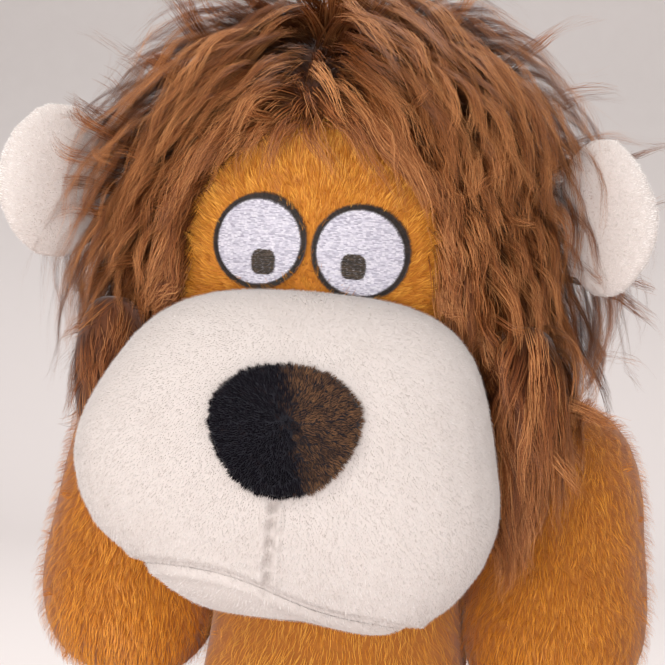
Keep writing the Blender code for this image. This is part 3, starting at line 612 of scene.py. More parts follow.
def pile_finish(name, tones, root=0.35, tip=0.35, shine=0.3, fuzz=0.25):
    """Pile fibre: its column in the map picks the tint, and it runs from a root darkened with painted shade to a
    paler tip.
    """
    finish, w, shader = new_finish(name)
    column, height = w.in_map()
    colour = ramp(w, column, *zip((0.0, 0.5, 1.0), tones))
    # Painted shade: the colour darkens towards each fibre's root, down to the factor root there.
    risen = w.maths("MINIMUM", w.product(height, 2.2), 1.0)
    shaded = w.maths("ADD", root, w.product(1.0 - root, risen))
    grey = w.node("ShaderNodeCombineColor", shaded, shaded, shaded).outputs[0]
    colour = blended(w, 1.0, colour, grey, "MULTIPLY")
    colour = blended(w, w.product(w.maths("POWER", height, 3.0), tip), colour, tones[-1])
    w.feed(shader, {
        "Base Color": colour, "Roughness": w.spread_over(column, 0.42, 0.62),
        "Specular IOR Level": shine, "Sheen Weight": fuzz, "Sheen Roughness": 0.4,
    })
    return finish


def cloth_finish(name, deep, face, bump=0.3):
    """Knitted backing cloth: fine loops in rows, with uneven dye and painted shade in the hollows between the
    loops.
    """
    finish, w, shader = new_finish(name)
    place = w.in_object()
    rows = w.node("ShaderNodeTexWave", place, THREADS, 1.5, bands_direction="Z").outputs[1]
    loops = w.node("ShaderNodeTexVoronoi", place, named={"Scale": THREADS * 0.8}).outputs[0]
    dye = w.node("ShaderNodeTexNoise", place, named={2: 60.0, 3: 4.0}).outputs[0]
    relief = w.maths("ADD", w.product(rows, 0.5), w.product(loops, 0.5))
    # Base colour: painted shade in the knit's hollows, where the relief is low, mixed with the uneven dye.
    w.feed(shader, {
        "Base Color": blended(w, w.maths("ADD", w.product(relief, 0.5), w.product(dye, 0.5)), deep, face),
        "Normal": w.bumped(relief, bump, 0.3 * MM), "Roughness": w.spread_over(dye, 0.9 - 0.1, 0.9),
        "Sheen Weight": 0.4, "Specular IOR Level": 0.2,
    })
    return finish


def thread_finish(name, tones, shine=0.5):
    """Rayon thread: twisted plies catch the light along each stitch."""
    finish, w, shader = new_finish(name)
    column, _ = w.in_map()
    plies = w.node("ShaderNodeTexWave", w.in_object(), PLIES, 2.0, bands_direction="DIAGONAL").outputs[1]
    colour = ramp(w, column, *zip((0.0, 0.5, 1.0), tones))
    w.feed(shader, {
        "Base Color": blended(w, w.product(plies, 0.18), colour, tones[0]),
        "Normal": w.bumped(plies, 0.25, 0.05 * MM), "Roughness": w.spread_over(plies, 0.3, 0.45),
        "Specular IOR Level": shine, "Sheen Weight": 0.15,
    })
    return finish


mane_pile = pile_finish("mane_fur", MANE_TONES, root=0.3, tip=0.25, shine=0.2, fuzz=0.0)
body_pile = pile_finish("orange_plush", BODY_TONES, root=0.75, fuzz=0.1)
face_pile = pile_finish("golden_plush", FACE_TONES, root=0.75, tip=0.25, fuzz=0.1)
cream_pile = pile_finish("cream_minky", CREAM_TONES, root=0.8, tip=0.2, shine=0.2, fuzz=0.5)
ear_pile = pile_finish("ear_minky", EAR_TONES, root=0.8, tip=0.1, shine=0.2, fuzz=0.5)
nose_pile = pile_finish("nose_plush", NOSE_TONES, root=0.6, tip=0.05, shine=0.06, fuzz=0.0)
mane_cloth = cloth_finish("mane_backing_cloth", (0.06, 0.018, 0.006), (0.16, 0.050, 0.016))
body_cloth = cloth_finish("orange_backing_cloth", (0.28, 0.085, 0.009), (0.48, 0.17, 0.022))
face_cloth = cloth_finish("golden_backing_cloth", (0.42, 0.14, 0.013), (0.62, 0.23, 0.026))
cream_cloth = cloth_finish("cream_backing_cloth", *CREAM_TONES[:2], bump=0.15)
nose_cloth = cloth_finish("nose_backing_cloth", *NOSE_TONES[:2])
white_thread = thread_finish("white_thread", WHITE_TONES)
rim_thread = thread_finish("rim_thread", RIM_TONES, shine=0.2)
pupil_thread = thread_finish("pupil_thread", PUPIL_TONES, shine=0.3)


# Head

ASIDE = np.array(((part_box("muzzle_panel")[0][0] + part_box("muzzle_panel")[1][0]) / 2, 0.0, 0.0))
WINDOW_CENTRE = 296 * MM
WINDOW_REACH = 50 * MM
CHEEK_REACH = 8 * MM
WHORL = np.array((-10, 6, 412)) * MM
PARTING_WIDTH = 14 * MM
WINDOW_ASIDE = -3 * MM
FACE_PLANE = -45 * MM
BACKING_RISE = 6 * MM
BACKING_SUNK = 1.5 * MM
DOWN = np.array((0.0, 0.0, -1.0))


def window_distance(co):
    """How far outside the face window a point of the head lies, seen from the front."""
    reach = WINDOW_REACH + CHEEK_REACH * step(WINDOW_CENTRE - co[:, 2], 0.0, 40 * MM)
    away = np.hypot(co[:, 0] - WINDOW_ASIDE, 0.94 * np.maximum(co[:, 2] - WINDOW_CENTRE, 0.0)) - reach
    return np.where(co[:, 1] < FACE_PLANE, away, 60 * MM)


def mane_flow(co):
    """Hair leaves the whorl in all directions, turns down, and runs round the face window."""
    out = co - WHORL
    far = np.linalg.norm(out, axis=1)
    hang = step(far, 30 * MM, 110 * MM)[:, None]
    side = np.tanh((co[:, 0] - WHORL[0]) / PARTING_WIDTH)
    high = np.maximum(co[:, 2] - WINDOW_CENTRE, 0.0)
    around = unit(np.stack([side * high, 0 * high, -np.abs(co[:, 0]) - 0.1 * MM], axis=1))
    close = np.exp(-((window_distance(co) / (30 * MM)) ** 2))[:, None]
    parted = 0.5 * np.stack([side, 0 * side, -0.2 - 0 * side], axis=1)
    parted = parted * (1 - hang) * step(-co[:, 1], 0.0, 60 * MM)[:, None]
    return unit(out) * (1 - hang) + parted + DOWN * hang + around * close * 1.5


head_form = stuffed_form("head_cover", ["head_cover"], ["head_stuffing"], rounds=4)
rounded(plumped(head_form, 1 * MM), 0)
head_co, head_out = points_of(head_form.data) - ASIDE, normals_of(head_form.data)
window = window_distance(head_co)
face = 1 - step(window, -1 * MM, 3 * MM)

backing_mesh = head_form.data.copy()
backing_rise = BACKING_RISE * step(window, 0.0, 12 * MM) - BACKING_SUNK
set_points(backing_mesh, head_co + ASIDE + head_out * backing_rise[:, None])
mane_backing = mesh_object("mane_backing", backing_mesh)
dressed(head_form, face_cloth, "head", ("head_cover", "head_stuffing"))
dressed(mane_backing, mane_cloth, "head", ("mane_crown",))

# Muzzle

MUZZLE_CENTRE = np.array((0, -131, 216)) * MM
MOUTH = np.array((0, -176, 166)) * MM
MOUTH_TILT = math.radians(9)
MOUTH_SAG = 7 * MM
MOUTH_SPREAD = 22 * MM
MOUTH_SLOPE = 0.03
mouth_down = np.array((0.0, -math.sin(MOUTH_TILT), -math.cos(MOUTH_TILT)))
NOSE_FOOT = 202 * MM
SEAM_LEAN = 0.05
SEAM_ASIDE = 1.5 * MM
SEAM_REACH = 7 * MM
PUCKER_PITCH = 7 * MM


def mouth_bend(co):
    """How far the mouth seam climbs above its own plane: up at one side, down at the other."""
    bend = 0 * co
    bend[:, 2] = -MOUTH_SAG * np.tanh(co[:, 0] / MOUTH_SPREAD) - MOUTH_SLOPE * co[:, 0]
    return bend


def refined(mesh, near):
    """Splits the edges at the marked points, so that a narrow seam can be pressed in there."""
    work = opened_up(mesh)
    work.verts.ensure_lookup_table()
    edges = [edge for edge in work.edges if near[edge.verts[0].index] and near[edge.verts[1].index]]
    bmesh.ops.subdivide_edges(work, edges=edges, cuts=1, use_grid_fill=True)
    closed_up(work, mesh)


def lopsided(co):
    """The stuffing has settled: one cheek bulges low over a drawn-in corner, the other droops."""
    right, left = step(-co[:, 0], 15 * MM, 75 * MM), step(co[:, 0], 5 * MM, 55 * MM)
    bulge = np.exp(-(((co[:, 2] - 216 * MM) / (34 * MM)) ** 2))
    moved = co.copy()
    moved[:, 0] += right * (9 * MM * step(186 * MM - co[:, 2], 0.0, 22 * MM) - 10 * MM * bulge)
    moved[:, 0] += left * 4 * MM * np.exp(-(((co[:, 2] - 190 * MM) / (24 * MM)) ** 2))
    moved[:, 2] -= left * 8 * MM * step(200 * MM - co[:, 2], 0.0, 40 * MM)
    return moved


panels = ["muzzle_panel", "jaw_panel"]
muzzle_form = stuffed_form("muzzle_form", panels, ["muzzle_stuffing"], cell=3.2 * MM, rounds=5)
rounded(plumped(muzzle_form, 3 * MM))
set_points(muzzle_form.data, lopsided(points_of(muzzle_form.data) - ASIDE) + ASIDE)


def seam_places(mesh):
    """Each point of the muzzle with its distances from the centre seam and from the mouth seam."""
    co = points_of(mesh) - ASIDE
    from_centre = co[:, 0] + SEAM_ASIDE - SEAM_LEAN * (co[:, 2] - NOSE_FOOT)
    return co, from_centre, (co - mouth_bend(co) - MOUTH) @ mouth_down


co, centre_away, mouth_away = seam_places(muzzle_form.data)
by_mouth = np.abs(mouth_away) < SEAM_REACH
by_centre = (np.abs(centre_away) < SEAM_REACH) & (co[:, 2] < 215 * MM)
refined(muzzle_form.data, (co[:, 1] < -85 * MM) & (by_mouth | by_centre))
co, centre_away, mouth_away = seam_places(muzzle_form.data)
front = step(-co[:, 1], 120 * MM, 150 * MM)
below_nose = step(NOSE_FOOT + 4 * MM - co[:, 2], 0.0, 8 * MM)
puckers = 1 + 0.5 * np.sin(co[:, 2] * math.tau / PUCKER_PITCH)
above_mouth = step(-mouth_away, -4 * MM, 2 * MM)
pressed_in(muzzle_form.data, centre_away, 1.3 * MM, 1.9 * MM, puckers * front * below_nose * above_mouth)
pressed_in(muzzle_form.data, mouth_away, 1.4 * MM, 1.5 * MM, step(-co[:, 1], 90 * MM, 130 * MM))
level_mesh = muzzle_form.data.copy()
set_points(level_mesh, points_of(level_mesh) - mouth_bend(points_of(level_mesh) - ASIDE))
muzzle = half_of("muzzle_panel", level_mesh, MOUTH - mouth_down * SEAM_PLAY / 2, mouth_down)
jaw = half_of("jaw_panel", level_mesh, MOUTH + mouth_down * SEAM_PLAY / 2, -mouth_down)
for part in (muzzle, jaw):
    set_points(part.data, points_of(part.data) + mouth_bend(points_of(part.data) - ASIDE))
dressed(muzzle, cream_cloth, "head", ("muzzle_panel", "muzzle_stuffing"))
dressed(jaw, cream_cloth, "head", ("jaw_panel",))

nose_form = rounded(stuffed_form("nose_panel", ["nose_panel"], cell=1.6 * MM, rounds=4))
dressed(nose_form, nose_cloth, "head", ("nose_panel",))

# Body, arms, legs, neck and tail

seat = rounded(stuffed_form("seat_panel", ["seat_panel"], cell=0.9 * MM, rounds=1), 0)
dressed(seat, body_cloth, "torso", ("seat_panel",))
fillings = ["body_stuffing", "pellet_bag", "seat_panel"]
body_form = rounded(plumped(stuffed_form("body_cover", ["body_cover"], fillings), 3 * MM), 0)
keep_above_floor(body_form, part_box("seat_panel")[1][2])
dressed(body_form, body_cloth, "torso", ("body_cover", "body_stuffing", "pellet_bag"))
neck_form = rounded(stuffed_form("neck_cover", ["neck_cover"], ["neck_stuffing"]), 0)
dressed(neck_form, body_cloth, "neck", ("neck_cover", "neck_stuffing"))
tail_form = rounded(stuffed_form("tail_cover", ["tail_cover"], ["tail_stuffing"], cell=2.5 * MM))
dressed(tail_form, body_cloth, "tail", ("tail_cover", "tail_stuffing"))

arm_forms, leg_forms, soles, bare_of_sole = {}, {}, {}, {}
SOLE_PROUD = 1.2 * MM
SOLE_SUNK = 3.5 * MM


def tree_of(form):
    mesh = form.data
    return BVHTree.FromPolygons([v.co for v in mesh.vertices], [p.vertices for p in mesh.polygons])


for side in SIDES:
    covers = [f"arm_cover_{side}", f"arm_stuffing_{side}"]
    arm_forms[side] = rounded(plumped(stuffed_form(covers[0], covers[:1], covers[1:]), 3 * MM), 0)
    dressed(arm_forms[side], body_cloth, f"arm_{side}", covers)
    covers = [f"leg_cover_{side}", f"leg_stuffing_{side}"]
    leg_forms[side] = rounded(plumped(stuffed_form(covers[0], covers[:1], covers[1:]), 3 * MM), 0)
    sole = rounded(stuffed_form(f"sole_{side}", [f"sole_{side}"], cell=1.0 * MM, rounds=3), 0)
    ahead = normals_of(sole.data)
    ahead = unit(ahead[ahead[:, 1] < -0.5].mean(axis=0))
    leg_co, sole_tree = points_of(leg_forms[side].data), tree_of(sole)
    sole_away = np.array([sole_tree.find_nearest(Vector(place))[3] for place in leg_co])
    facing = step(normals_of(leg_forms[side].data) @ ahead, 0.3, 0.8)
    bare_of_sole[side] = 1 - (1 - step(sole_away, 4 * MM, 7 * MM)) * facing
    set_points(leg_forms[side].data, leg_co - ahead * (SOLE_SUNK * (1 - bare_of_sole[side]))[:, None])
    set_points(sole.data, points_of(sole.data) + ahead * SOLE_PROUD)
    soles[side] = sole
    dressed(sole, cream_cloth, f"leg_{side}", (f"sole_{side}",))
    dressed(leg_forms[side], body_cloth, f"leg_{side}", covers)

# What the mane hangs over

hung_over = [mane_backing, muzzle_form, body_form, *arm_forms.values(), *leg_forms.values()]
under_mane = joined("under_mane", [form.data for form in hung_over], 5 * MM, 2)

# Mane

long_hair = hair_tree("long_hair", 8)
short_hair = hair_tree("short_hair", 4)
nap = hair_tree("nap", 2)
MANE = dict(
    guides=32000, strands=1180000, stride=11.6 * MM, lift=1.0, layer=32 * MM, fall=0.45, wave=0.45,
    wave_scale=22, gather=0.45, frizz=2.0 * MM, thickness=0.26 * MM, tint_spread=0.9, strays=0.07,
)
BACK_THICKNESS = 0.4 * MM
BACK_DENSITY = 0.13
MANE_SPLIT = -22 * MM
BROW_HEIGHT = 335 * MM
CORE_SUNK = 6 * MM
SWEPT_LOCK = np.array((6, 356)) * MM
SWEPT_REACH = 16 * MM
EAR_PLANE = -72 * MM
backing_co = points_of(mane_backing.data) - ASIDE
mane_here = step(window, 0.0, 4 * MM)
mane_length = 0.35 + 0.65 * step(window, 0.0, 45 * MM) + 0.05 * step(backing_co[:, 2], 320 * MM, 380 * MM)
behind_ear = step(backing_co[:, 1], EAR_PLANE, EAR_PLANE + 20 * MM)
before_ear = (1 - behind_ear) * step(backing_co[:, 2], 290 * MM, 320 * MM)
mane_length = mane_length + step(backing_co[:, 0], 40 * MM, 75 * MM) * (0.1 * behind_ear - 0.5 * before_ear)
mane_length = np.maximum(mane_length, 0.3)
sweep_away = np.hypot(backing_co[:, 0] - SWEPT_LOCK[0], backing_co[:, 2] - SWEPT_LOCK[1]) / SWEPT_REACH
mane_length = mane_length + 0.45 * np.exp(-(sweep_away ** 2)) * (backing_co[:, 1] < FACE_PLANE)
low_right = 0.5 * step(-backing_co[:, 0], 40 * MM, 70 * MM) * step(310 * MM - backing_co[:, 2], 0.0, 40 * MM)
mane_length = mane_length * (1 - low_right)
mane_tint = 0.45 + 0.1 * step(backing_co[:, 2], 300 * MM, 400 * MM)
left = (backing_co[:, 0] > WHORL[0]).astype(float)
forward = (backing_co[:, 1] < MANE_SPLIT).astype(float)
high = (backing_co[:, 2] > BROW_HEIGHT).astype(float)
regions = {
    "mane_brow_left": left * forward * high,
    "mane_brow_right": (1 - left) * forward * high,
    "mane_cheek_left": left * forward * (1 - high),
    "mane_cheek_right": (1 - left) * forward * (1 - high),
    "mane_back_left": left * (1 - forward) * BACK_DENSITY,
    "mane_back_right": (1 - left) * (1 - forward) * BACK_DENSITY,
}
for number, (name, region) in enumerate(regions.items()):
    settings = {**MANE, "thickness": BACK_THICKNESS} if "back" in name else MANE
    hair = pile_on(
        name, mane_backing, long_hair, mane_pile, mane_flow(backing_co), mane_length, mane_here * region,
        mane_tint, under_mane, number + 1, **settings,
    )
    dressed(hair, mane_pile, "head")

LOCKS = ("mane_lock_left", 0.7, 0.8), ("mane_lock_right", 0.25, 0.3), ("mane_nape", 0.7, 0.15)
for number, (node, length, thick) in enumerate(LOCKS):
    core = stuffed_form(node, [node], cell=4 * MM, rounds=12)
    set_points(core.data, points_of(core.data) - normals_of(core.data) * CORE_SUNK)
    rounded(core)
    dressed(core, mane_cloth, "head", (node,))
    hair = pile_on(
        node + "_hair", core, long_hair, mane_pile, DOWN, length, thick, 0.45, under_mane, number + 11,
        **{**MANE, "layer": 20 * MM, "lift": 0.6},
    )
    dressed(hair, mane_pile, "head")

# Short pile

UNDERFUR = dict(
    guides=40000, strands=260000, stride=6.0 * MM, lift=0.8, layer=9 * MM, fall=0.3, wave=0.4,
    wave_scale=60, gather=0.4, frizz=1.0 * MM, thickness=0.55 * MM, tint_spread=0.6, strays=0.02,
)
# The underfur's tint is raised to 0.55: painted light that lifts the shade where the mane parts.
underfur = pile_on(
    "mane_underfur", mane_backing, short_hair, mane_pile, mane_flow(backing_co), 1.0, mane_here * forward,
    0.55, mane_backing, 19, **UNDERFUR,
)
dressed(underfur, mane_pile, "head")
FUR = dict(
    guides=110000, stride=2.5 * MM, lift=0.8, layer=4 * MM, fall=0.15, wave=0.45, wave_scale=60,
    gather=0.3, frizz=0.7 * MM, thickness=0.28 * MM, tint_spread=0.45, strays=0.02,
)
EYE_FULLNESS = np.array((1.17, 1.0, 1.06))
EYE_ASIDE = {"left": np.array((-2.0, 0.0, -2.2)) * MM, "right": np.array((-3.1, 0.0, -0.2)) * MM}
PUPIL_ASIDE = {"left": np.array((-1.2, 0.0, -1.6)) * MM, "right": np.array((-3.8, 0.0, -2.0)) * MM}
face_comb = unit(np.stack([head_co[:, 0], 0 * head_co[:, 0], head_co[:, 2] - 285 * MM + 25 * MM], axis=1))
clear_of_eyes = np.ones(len(head_co))
for side, aside in EYE_ASIDE.items():
    low, high = (np.array(v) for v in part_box(f"eye_rim_{side}"))
    away = (head_co + ASIDE - (low + high) / 2 - aside) / (EYE_FULLNESS * (high - low) / 2)
    clear_of_eyes *= step(np.hypot(away[:, 0], away[:, 2]), 0.96, 1.06)
cheek = step(np.abs(head_co[:, 0]), 50 * MM, 75 * MM) * step(290 * MM - head_co[:, 2], 0.0, 30 * MM)
FACE_FUR = {**FUR, "stride": 2.3 * MM, "thickness": 0.20 * MM, "frizz": 0.8 * MM, "tint_spread": 0.7}
face_fur = pile_on(
    "face_fur", head_form, short_hair, face_pile, face_comb, 1 - 0.3 * face * (1 - cheek),
    face * clear_of_eyes, 0.5 - 0.3 * cheek, head_form, 21, strands=1700000, **FACE_FUR,
)
dressed(face_fur, face_pile, "head")


def fur_on(form, name, comb, body, seed, strands=280000, tint=0.28, where=1.0, **more):
    out = normals_of(form.data)
    keep = 0.25 + 0.75 * step(-out[:, 1], -0.3, 0.4)
    keep = keep * step(points_of(form.data)[:, 2], 1 * MM, 4 * MM) * where
    settings = {**FUR, "strands": strands, **more}
    hair = pile_on(name, form, short_hair, body_pile, comb, 1.0, keep, tint, form, seed, **settings)
    return dressed(hair, body_pile, body)


# The torso's fur takes a paler tint than the other fur: painted light that makes up for the shade under the
# muzzle.
fur_on(body_form, "body_fur", (0.0, -0.1, -1.0), "torso", 31, tint=0.78)
fur_on(neck_form, "neck_fur", (0.0, 0.0, -1.0), "neck", 32, stride=1.5 * MM, strands=150000)
fur_on(tail_form, "tail_fur", (-0.4, 1.0, 0.0), "tail", 33, stride=1.6 * MM)
for number, side in enumerate(SIDES):
    fur_on(arm_forms[side], f"arm_fur_{side}", (0.0, -0.2, -1.0), f"arm_{side}", 34 + number, strands=700000)
    fur_on(
        leg_forms[side], f"leg_fur_{side}", (0.0, -1.0, -0.2), f"leg_{side}", 36 + number, strands=240000,
        where=bare_of_sole[side],
    )

# Tail tuft

TUFT_SUNK = 4 * MM
tuft = stuffed_form("tail_tuft", ["tail_tuft"], cell=3 * MM, rounds=8)
set_points(tuft.data, points_of(tuft.data) - normals_of(tuft.data) * TUFT_SUNK)
rounded(tuft)
dressed(tuft, mane_cloth, "tail", ("tail_tuft",))
hair = pile_on(
    "tail_tuft_hair", tuft, long_hair, mane_pile, (-0.5, 1.0, 0.0), 0.4, 0.35, 0.45, tuft, 41,
    **{**MANE, "fall": 0.0, "layer": 5 * MM},
)
dressed(hair, mane_pile, "tail")

# Cream and nose pile

EAR_LEAN = {"left": 5 * MM, "right": 0.0}
EAR_ROOT = 96 * MM
EAR_NARROW = {"left": 0.92, "right": 1.06}
EAR_CURL = 9 * MM
# Each ear's inner edge carries painted shade, brown like the mane beside it, fading out by this distance from the
# ear's root.
EAR_SHADE = {"left": 27 * MM, "right": 14 * MM}

NAP = dict(
    guides=200000, stride=1.5 * MM, lift=0.8, layer=0.9 * MM, fall=0.1, wave=0.4, wave_scale=160,
    gather=0.3, frizz=0.2 * MM, thickness=0.30 * MM, tint_spread=0.8, strays=0.0,
)


def nap_on(form, name, comb, body, seed, finish, slot, strands, tint=0.5, keep=1.0, **more):
    hair = pile_on(name, form, nap, finish, comb, 1.0, keep, tint, form, seed, strands=strands, **{**NAP, **more})
    return dressed(hair, finish, body)


muzzle_co = points_of(muzzle.data) - ASIDE
shown = step(-muzzle_co[:, 1], 92 * MM, 100 * MM)
muzzle_comb = unit(muzzle_co - MUZZLE_CENTRE) + DOWN
nap_on(muzzle, "muzzle_nap", muzzle_comb, "head", 51, cream_pile, "cream_minky", 1250000, keep=shown)
jaw_comb = unit(points_of(jaw.data) - ASIDE - MUZZLE_CENTRE)
# The jaw's nap takes the palest cream tint: painted light that makes up for the shade under the muzzle.
nap_on(jaw, "jaw_nap", jaw_comb, "head", 52, cream_pile, "cream_minky", 900000, tint=0.95)
nose_co = points_of(nose_form.data) - ASIDE
nose_tint = 0.22 + 0.62 * step(nose_co[:, 0] + 0.25 * (nose_co[:, 2] - 227 * MM), -4 * MM, 12 * MM)
nap_on(
    nose_form, "nose_nap", unit(nose_co - np.array((0, -150, 227)) * MM), "head", 53, nose_pile, "nose_plush",
    4000000, tint=nose_tint, keep=step(-nose_co[:, 1], 168 * MM, 172 * MM), stride=2.4 * MM,
    tint_spread=0.35, thickness=0.26 * MM, lift=1.2,
)

for number, side in enumerate(SIDES):
    sign = 1 if side == "left" else -1
    parts = [f"ear_front_{side}", f"ear_back_{side}", f"ear_wadding_{side}"]
    ear = rounded(stuffed_form(f"ear_{side}", parts[:2], parts[2:], cell=2.4 * MM, rounds=4))
    dressed(ear, cream_cloth, f"ear_{side}", parts)
    ear_co = points_of(ear.data) - ASIDE
    away = sign * ear_co[:, 0] - EAR_ROOT
    ear_co[:, 0] -= sign * (1 - EAR_NARROW[side]) * np.maximum(away, 0.0)
    ear_co[:, 0] -= sign * EAR_LEAN[side] * step(ear_co[:, 2], 318 * MM, 352 * MM)
    ear_co[:, 1] -= EAR_CURL * step(away, 4 * MM, 40 * MM)
    set_points(ear.data, ear_co + ASIDE)
    # Painted shade: the nap is tinted brown towards the ear's inner edge.
    shade = 1 - step(away, EAR_SHADE[side] - 12 * MM, EAR_SHADE[side])
    nap_on(
        ear, f"ear_nap_{side}", (sign * 1.0, 0.0, 0.2), f"ear_{side}", 54 + number, ear_pile, "cream_minky",
        1500000, tint=0.6 - 0.5 * shade, tint_spread=0.3, stride=1.3 * MM,
    )
    nap_on(
        soles[side], f"sole_nap_{side}", (0.0, 0.0, -1.0), f"leg_{side}", 56 + number, cream_pile,
        "cream_minky", 1200000,
    )

# Stitched eyes

STITCH_PITCH = 0.5 * MM
STITCH_LENGTH = 1.4 * MM
RIM = 2.4 * MM
RIM_COUNT = 270
RIM_HEAVY = {"left": math.radians(40), "right": math.radians(60)}
PAD_PROUD = 1.2 * MM
PAD_BACK = 2 * MM


def stitch_tree():
    """Lays one twisted stitch on each point: a thin spindle along the thread, flattened onto the cloth."""
    tree, w, given = new_tree("stitches", {"Width": 0.55 * MM, "Height": 0.35 * MM}, {"Finish": "Material"})
    line = w.node("GeometryNodeCurvePrimitiveLine", (-0.5, 0, 0), (0.5, 0, 0), mode="POINTS").outputs[0]
    line = w.node("GeometryNodeResampleCurve", line, None, 4, mode="COUNT").outputs[0]
    along = w.node("GeometryNodeSplineParameter").outputs[0]
    line = w.store(line, "up_hair", along)
    belly = w.maths("ADD", 0.25, w.product(3.0, along, w.left_of(along)))
    ring = w.node("GeometryNodeCurvePrimitiveCircle", 4, named={"Radius": 0.5}).outputs[0]
    spindle = w.node("GeometryNodeCurveToMesh", line, ring, belly, True).outputs[0]
    size = w.node("ShaderNodeCombineXYZ", w.read("long"), given["Width"], given["Height"]).outputs[0]
    turn = w.node(
        "FunctionNodeAxesToRotation", w.arrow("along"), w.arrow("out"), primary_axis="X", secondary_axis="Z"
    )
    laid = w.node(
        "GeometryNodeInstanceOnPoints", given["Cloth"], None, spindle, named={5: turn.outputs[0], 6: size}
    ).outputs[0]
    laid = w.node("GeometryNodeRealizeInstances", laid).outputs[0]
    place = w.node("ShaderNodeCombineXYZ", w.read("shade"), w.read("up_hair"), 0.0).outputs[0]
    laid = w.store(laid, "OFBake", place, "FLOAT2", "CORNER")
    finished(w, forget(w, laid, "long", "along", "out", "shade", "up_hair"), given["Finish"])
    return tree


stitches = stitch_tree()


def fitted_dome(form, middle, half):
    """The front of a form inside an oval, as one smooth dome: a function from place to depth."""
    tree = tree_of(form)
    turns = np.arange(24) * math.tau / 24
    places = np.array([
        (middle[0] + reach * half[0] * math.cos(turn), middle[2] + reach * half[2] * math.sin(turn))
        for reach in (0.0, 0.4, 0.7, 1.0) for turn in turns
    ])
    depths = [tree.ray_cast(Vector((x, cad_low[1], z)), Vector((0, 1, 0)))[0].y for x, z in places]

    def terms(x, z):
        u, v = (x - middle[0]) / half[0], (z - middle[2]) / half[2]
        return np.stack([1 + 0 * u, u, v, u * u, u * v, v * v], axis=-1)

    fit = np.linalg.lstsq(terms(*places.T), np.array(depths), rcond=None)[0]
    proud = PAD_PROUD + max(terms(*places.T) @ fit - depths)
    return lambda x, z: terms(x, z) @ fit - proud


def eye_pad(name, dome, middle, half, rings=10, count=72):
    """A thin closed lens on the dome, which the stitches cover."""
    turns = np.arange(count) * math.tau / count
    corners = [(middle[0], dome(middle[0], middle[2]), middle[2])]
    for reach, depth in [((ring + 1) / rings, 0.0) for ring in range(rings)] + [(1.0, PAD_BACK)]:
        for turn in turns:
            x, z = middle[0] + reach * half[0] * math.cos(turn), middle[2] + reach * half[2] * math.sin(turn)
            corners.append((x, dome(x, z) + depth, z))
    corners.append((middle[0], dome(middle[0], middle[2]) + PAD_BACK, middle[2]))
    last = len(corners) - 1
    faces = []
    for i in range(count):
        j = (i + 1) % count
        faces.append((0, 1 + i, 1 + j))
        for ring in range(rings):
            first, second = 1 + ring * count, 1 + (ring + 1) * count
            faces.append((first + i, second + i, second + j, first + j))
        faces.append((1 + rings * count + j, 1 + rings * count + i, last))
    mesh = bpy.data.meshes.new(name)
    mesh.from_pydata(corners, [], faces)
    mesh.shade_smooth()
    return mesh_object(name, mesh)


def stitched(name, centres, ways, lengths, dome, finish, seed, height):
    """Stitches laid on a dome that faces the front, a little above it."""
    chance = np.random.default_rng(seed)
    rows = []
    for (x, z), (dx, dz), length in zip(centres, ways, lengths):
        slope_x = (dome(x + MM, z) - dome(x - MM, z)) / (2 * MM)
        slope_z = (dome(x, z + MM) - dome(x, z - MM)) / (2 * MM)
        out = unit(np.array((slope_x, -1.0, slope_z)))
        way = unit(np.array((dx, slope_x * dx + slope_z * dz, dz)))
        place = np.array((x, dome(x, z), z)) + out * height
        rows.append((*place, *way, *out, length, chance.uniform(0.02, 0.98)))
    rows = np.array(rows)
    mesh = bpy.data.meshes.new(name)
    mesh.from_pydata([tuple(row[:3]) for row in rows], [], [])
    write(mesh, "along", rows[:, 3:6])
    write(mesh, "out", rows[:, 6:9])
    write(mesh, "long", rows[:, 9])
    write(mesh, "shade", rows[:, 10])
    return modified(mesh_object(name, mesh), stitches, {"Finish": finish})


def filled_with_rows(cx, cz, half_wide, half_high, power, pitch, length, seed, cut=0.0):
    """Brick rows of level stitches inside a rounded outline."""
    chance = np.random.default_rng(seed)
    centres, lengths = [], []
    count = int(2 * half_high / pitch)
    for row in range(count):
        z = (row + 0.5 - count / 2) * pitch
        reach = half_wide * (1 - abs(z / half_high) ** power) ** (1 / power)
        x = -reach
        offset = length * chance.uniform(0.3, 1.0)
        while x < reach - 0.2 * MM:
            end = min(reach, x + offset)
            if end - x > 0.4 * MM:
                centres.append((cx + (x + end) / 2, cz + z + chance.uniform(-0.05, 0.05) * MM))
                lengths.append((end - x) * 1.4)
            x, offset = end, length * chance.uniform(0.85, 1.15)
    return centres, [(1.0, 0.0)] * len(centres), lengths


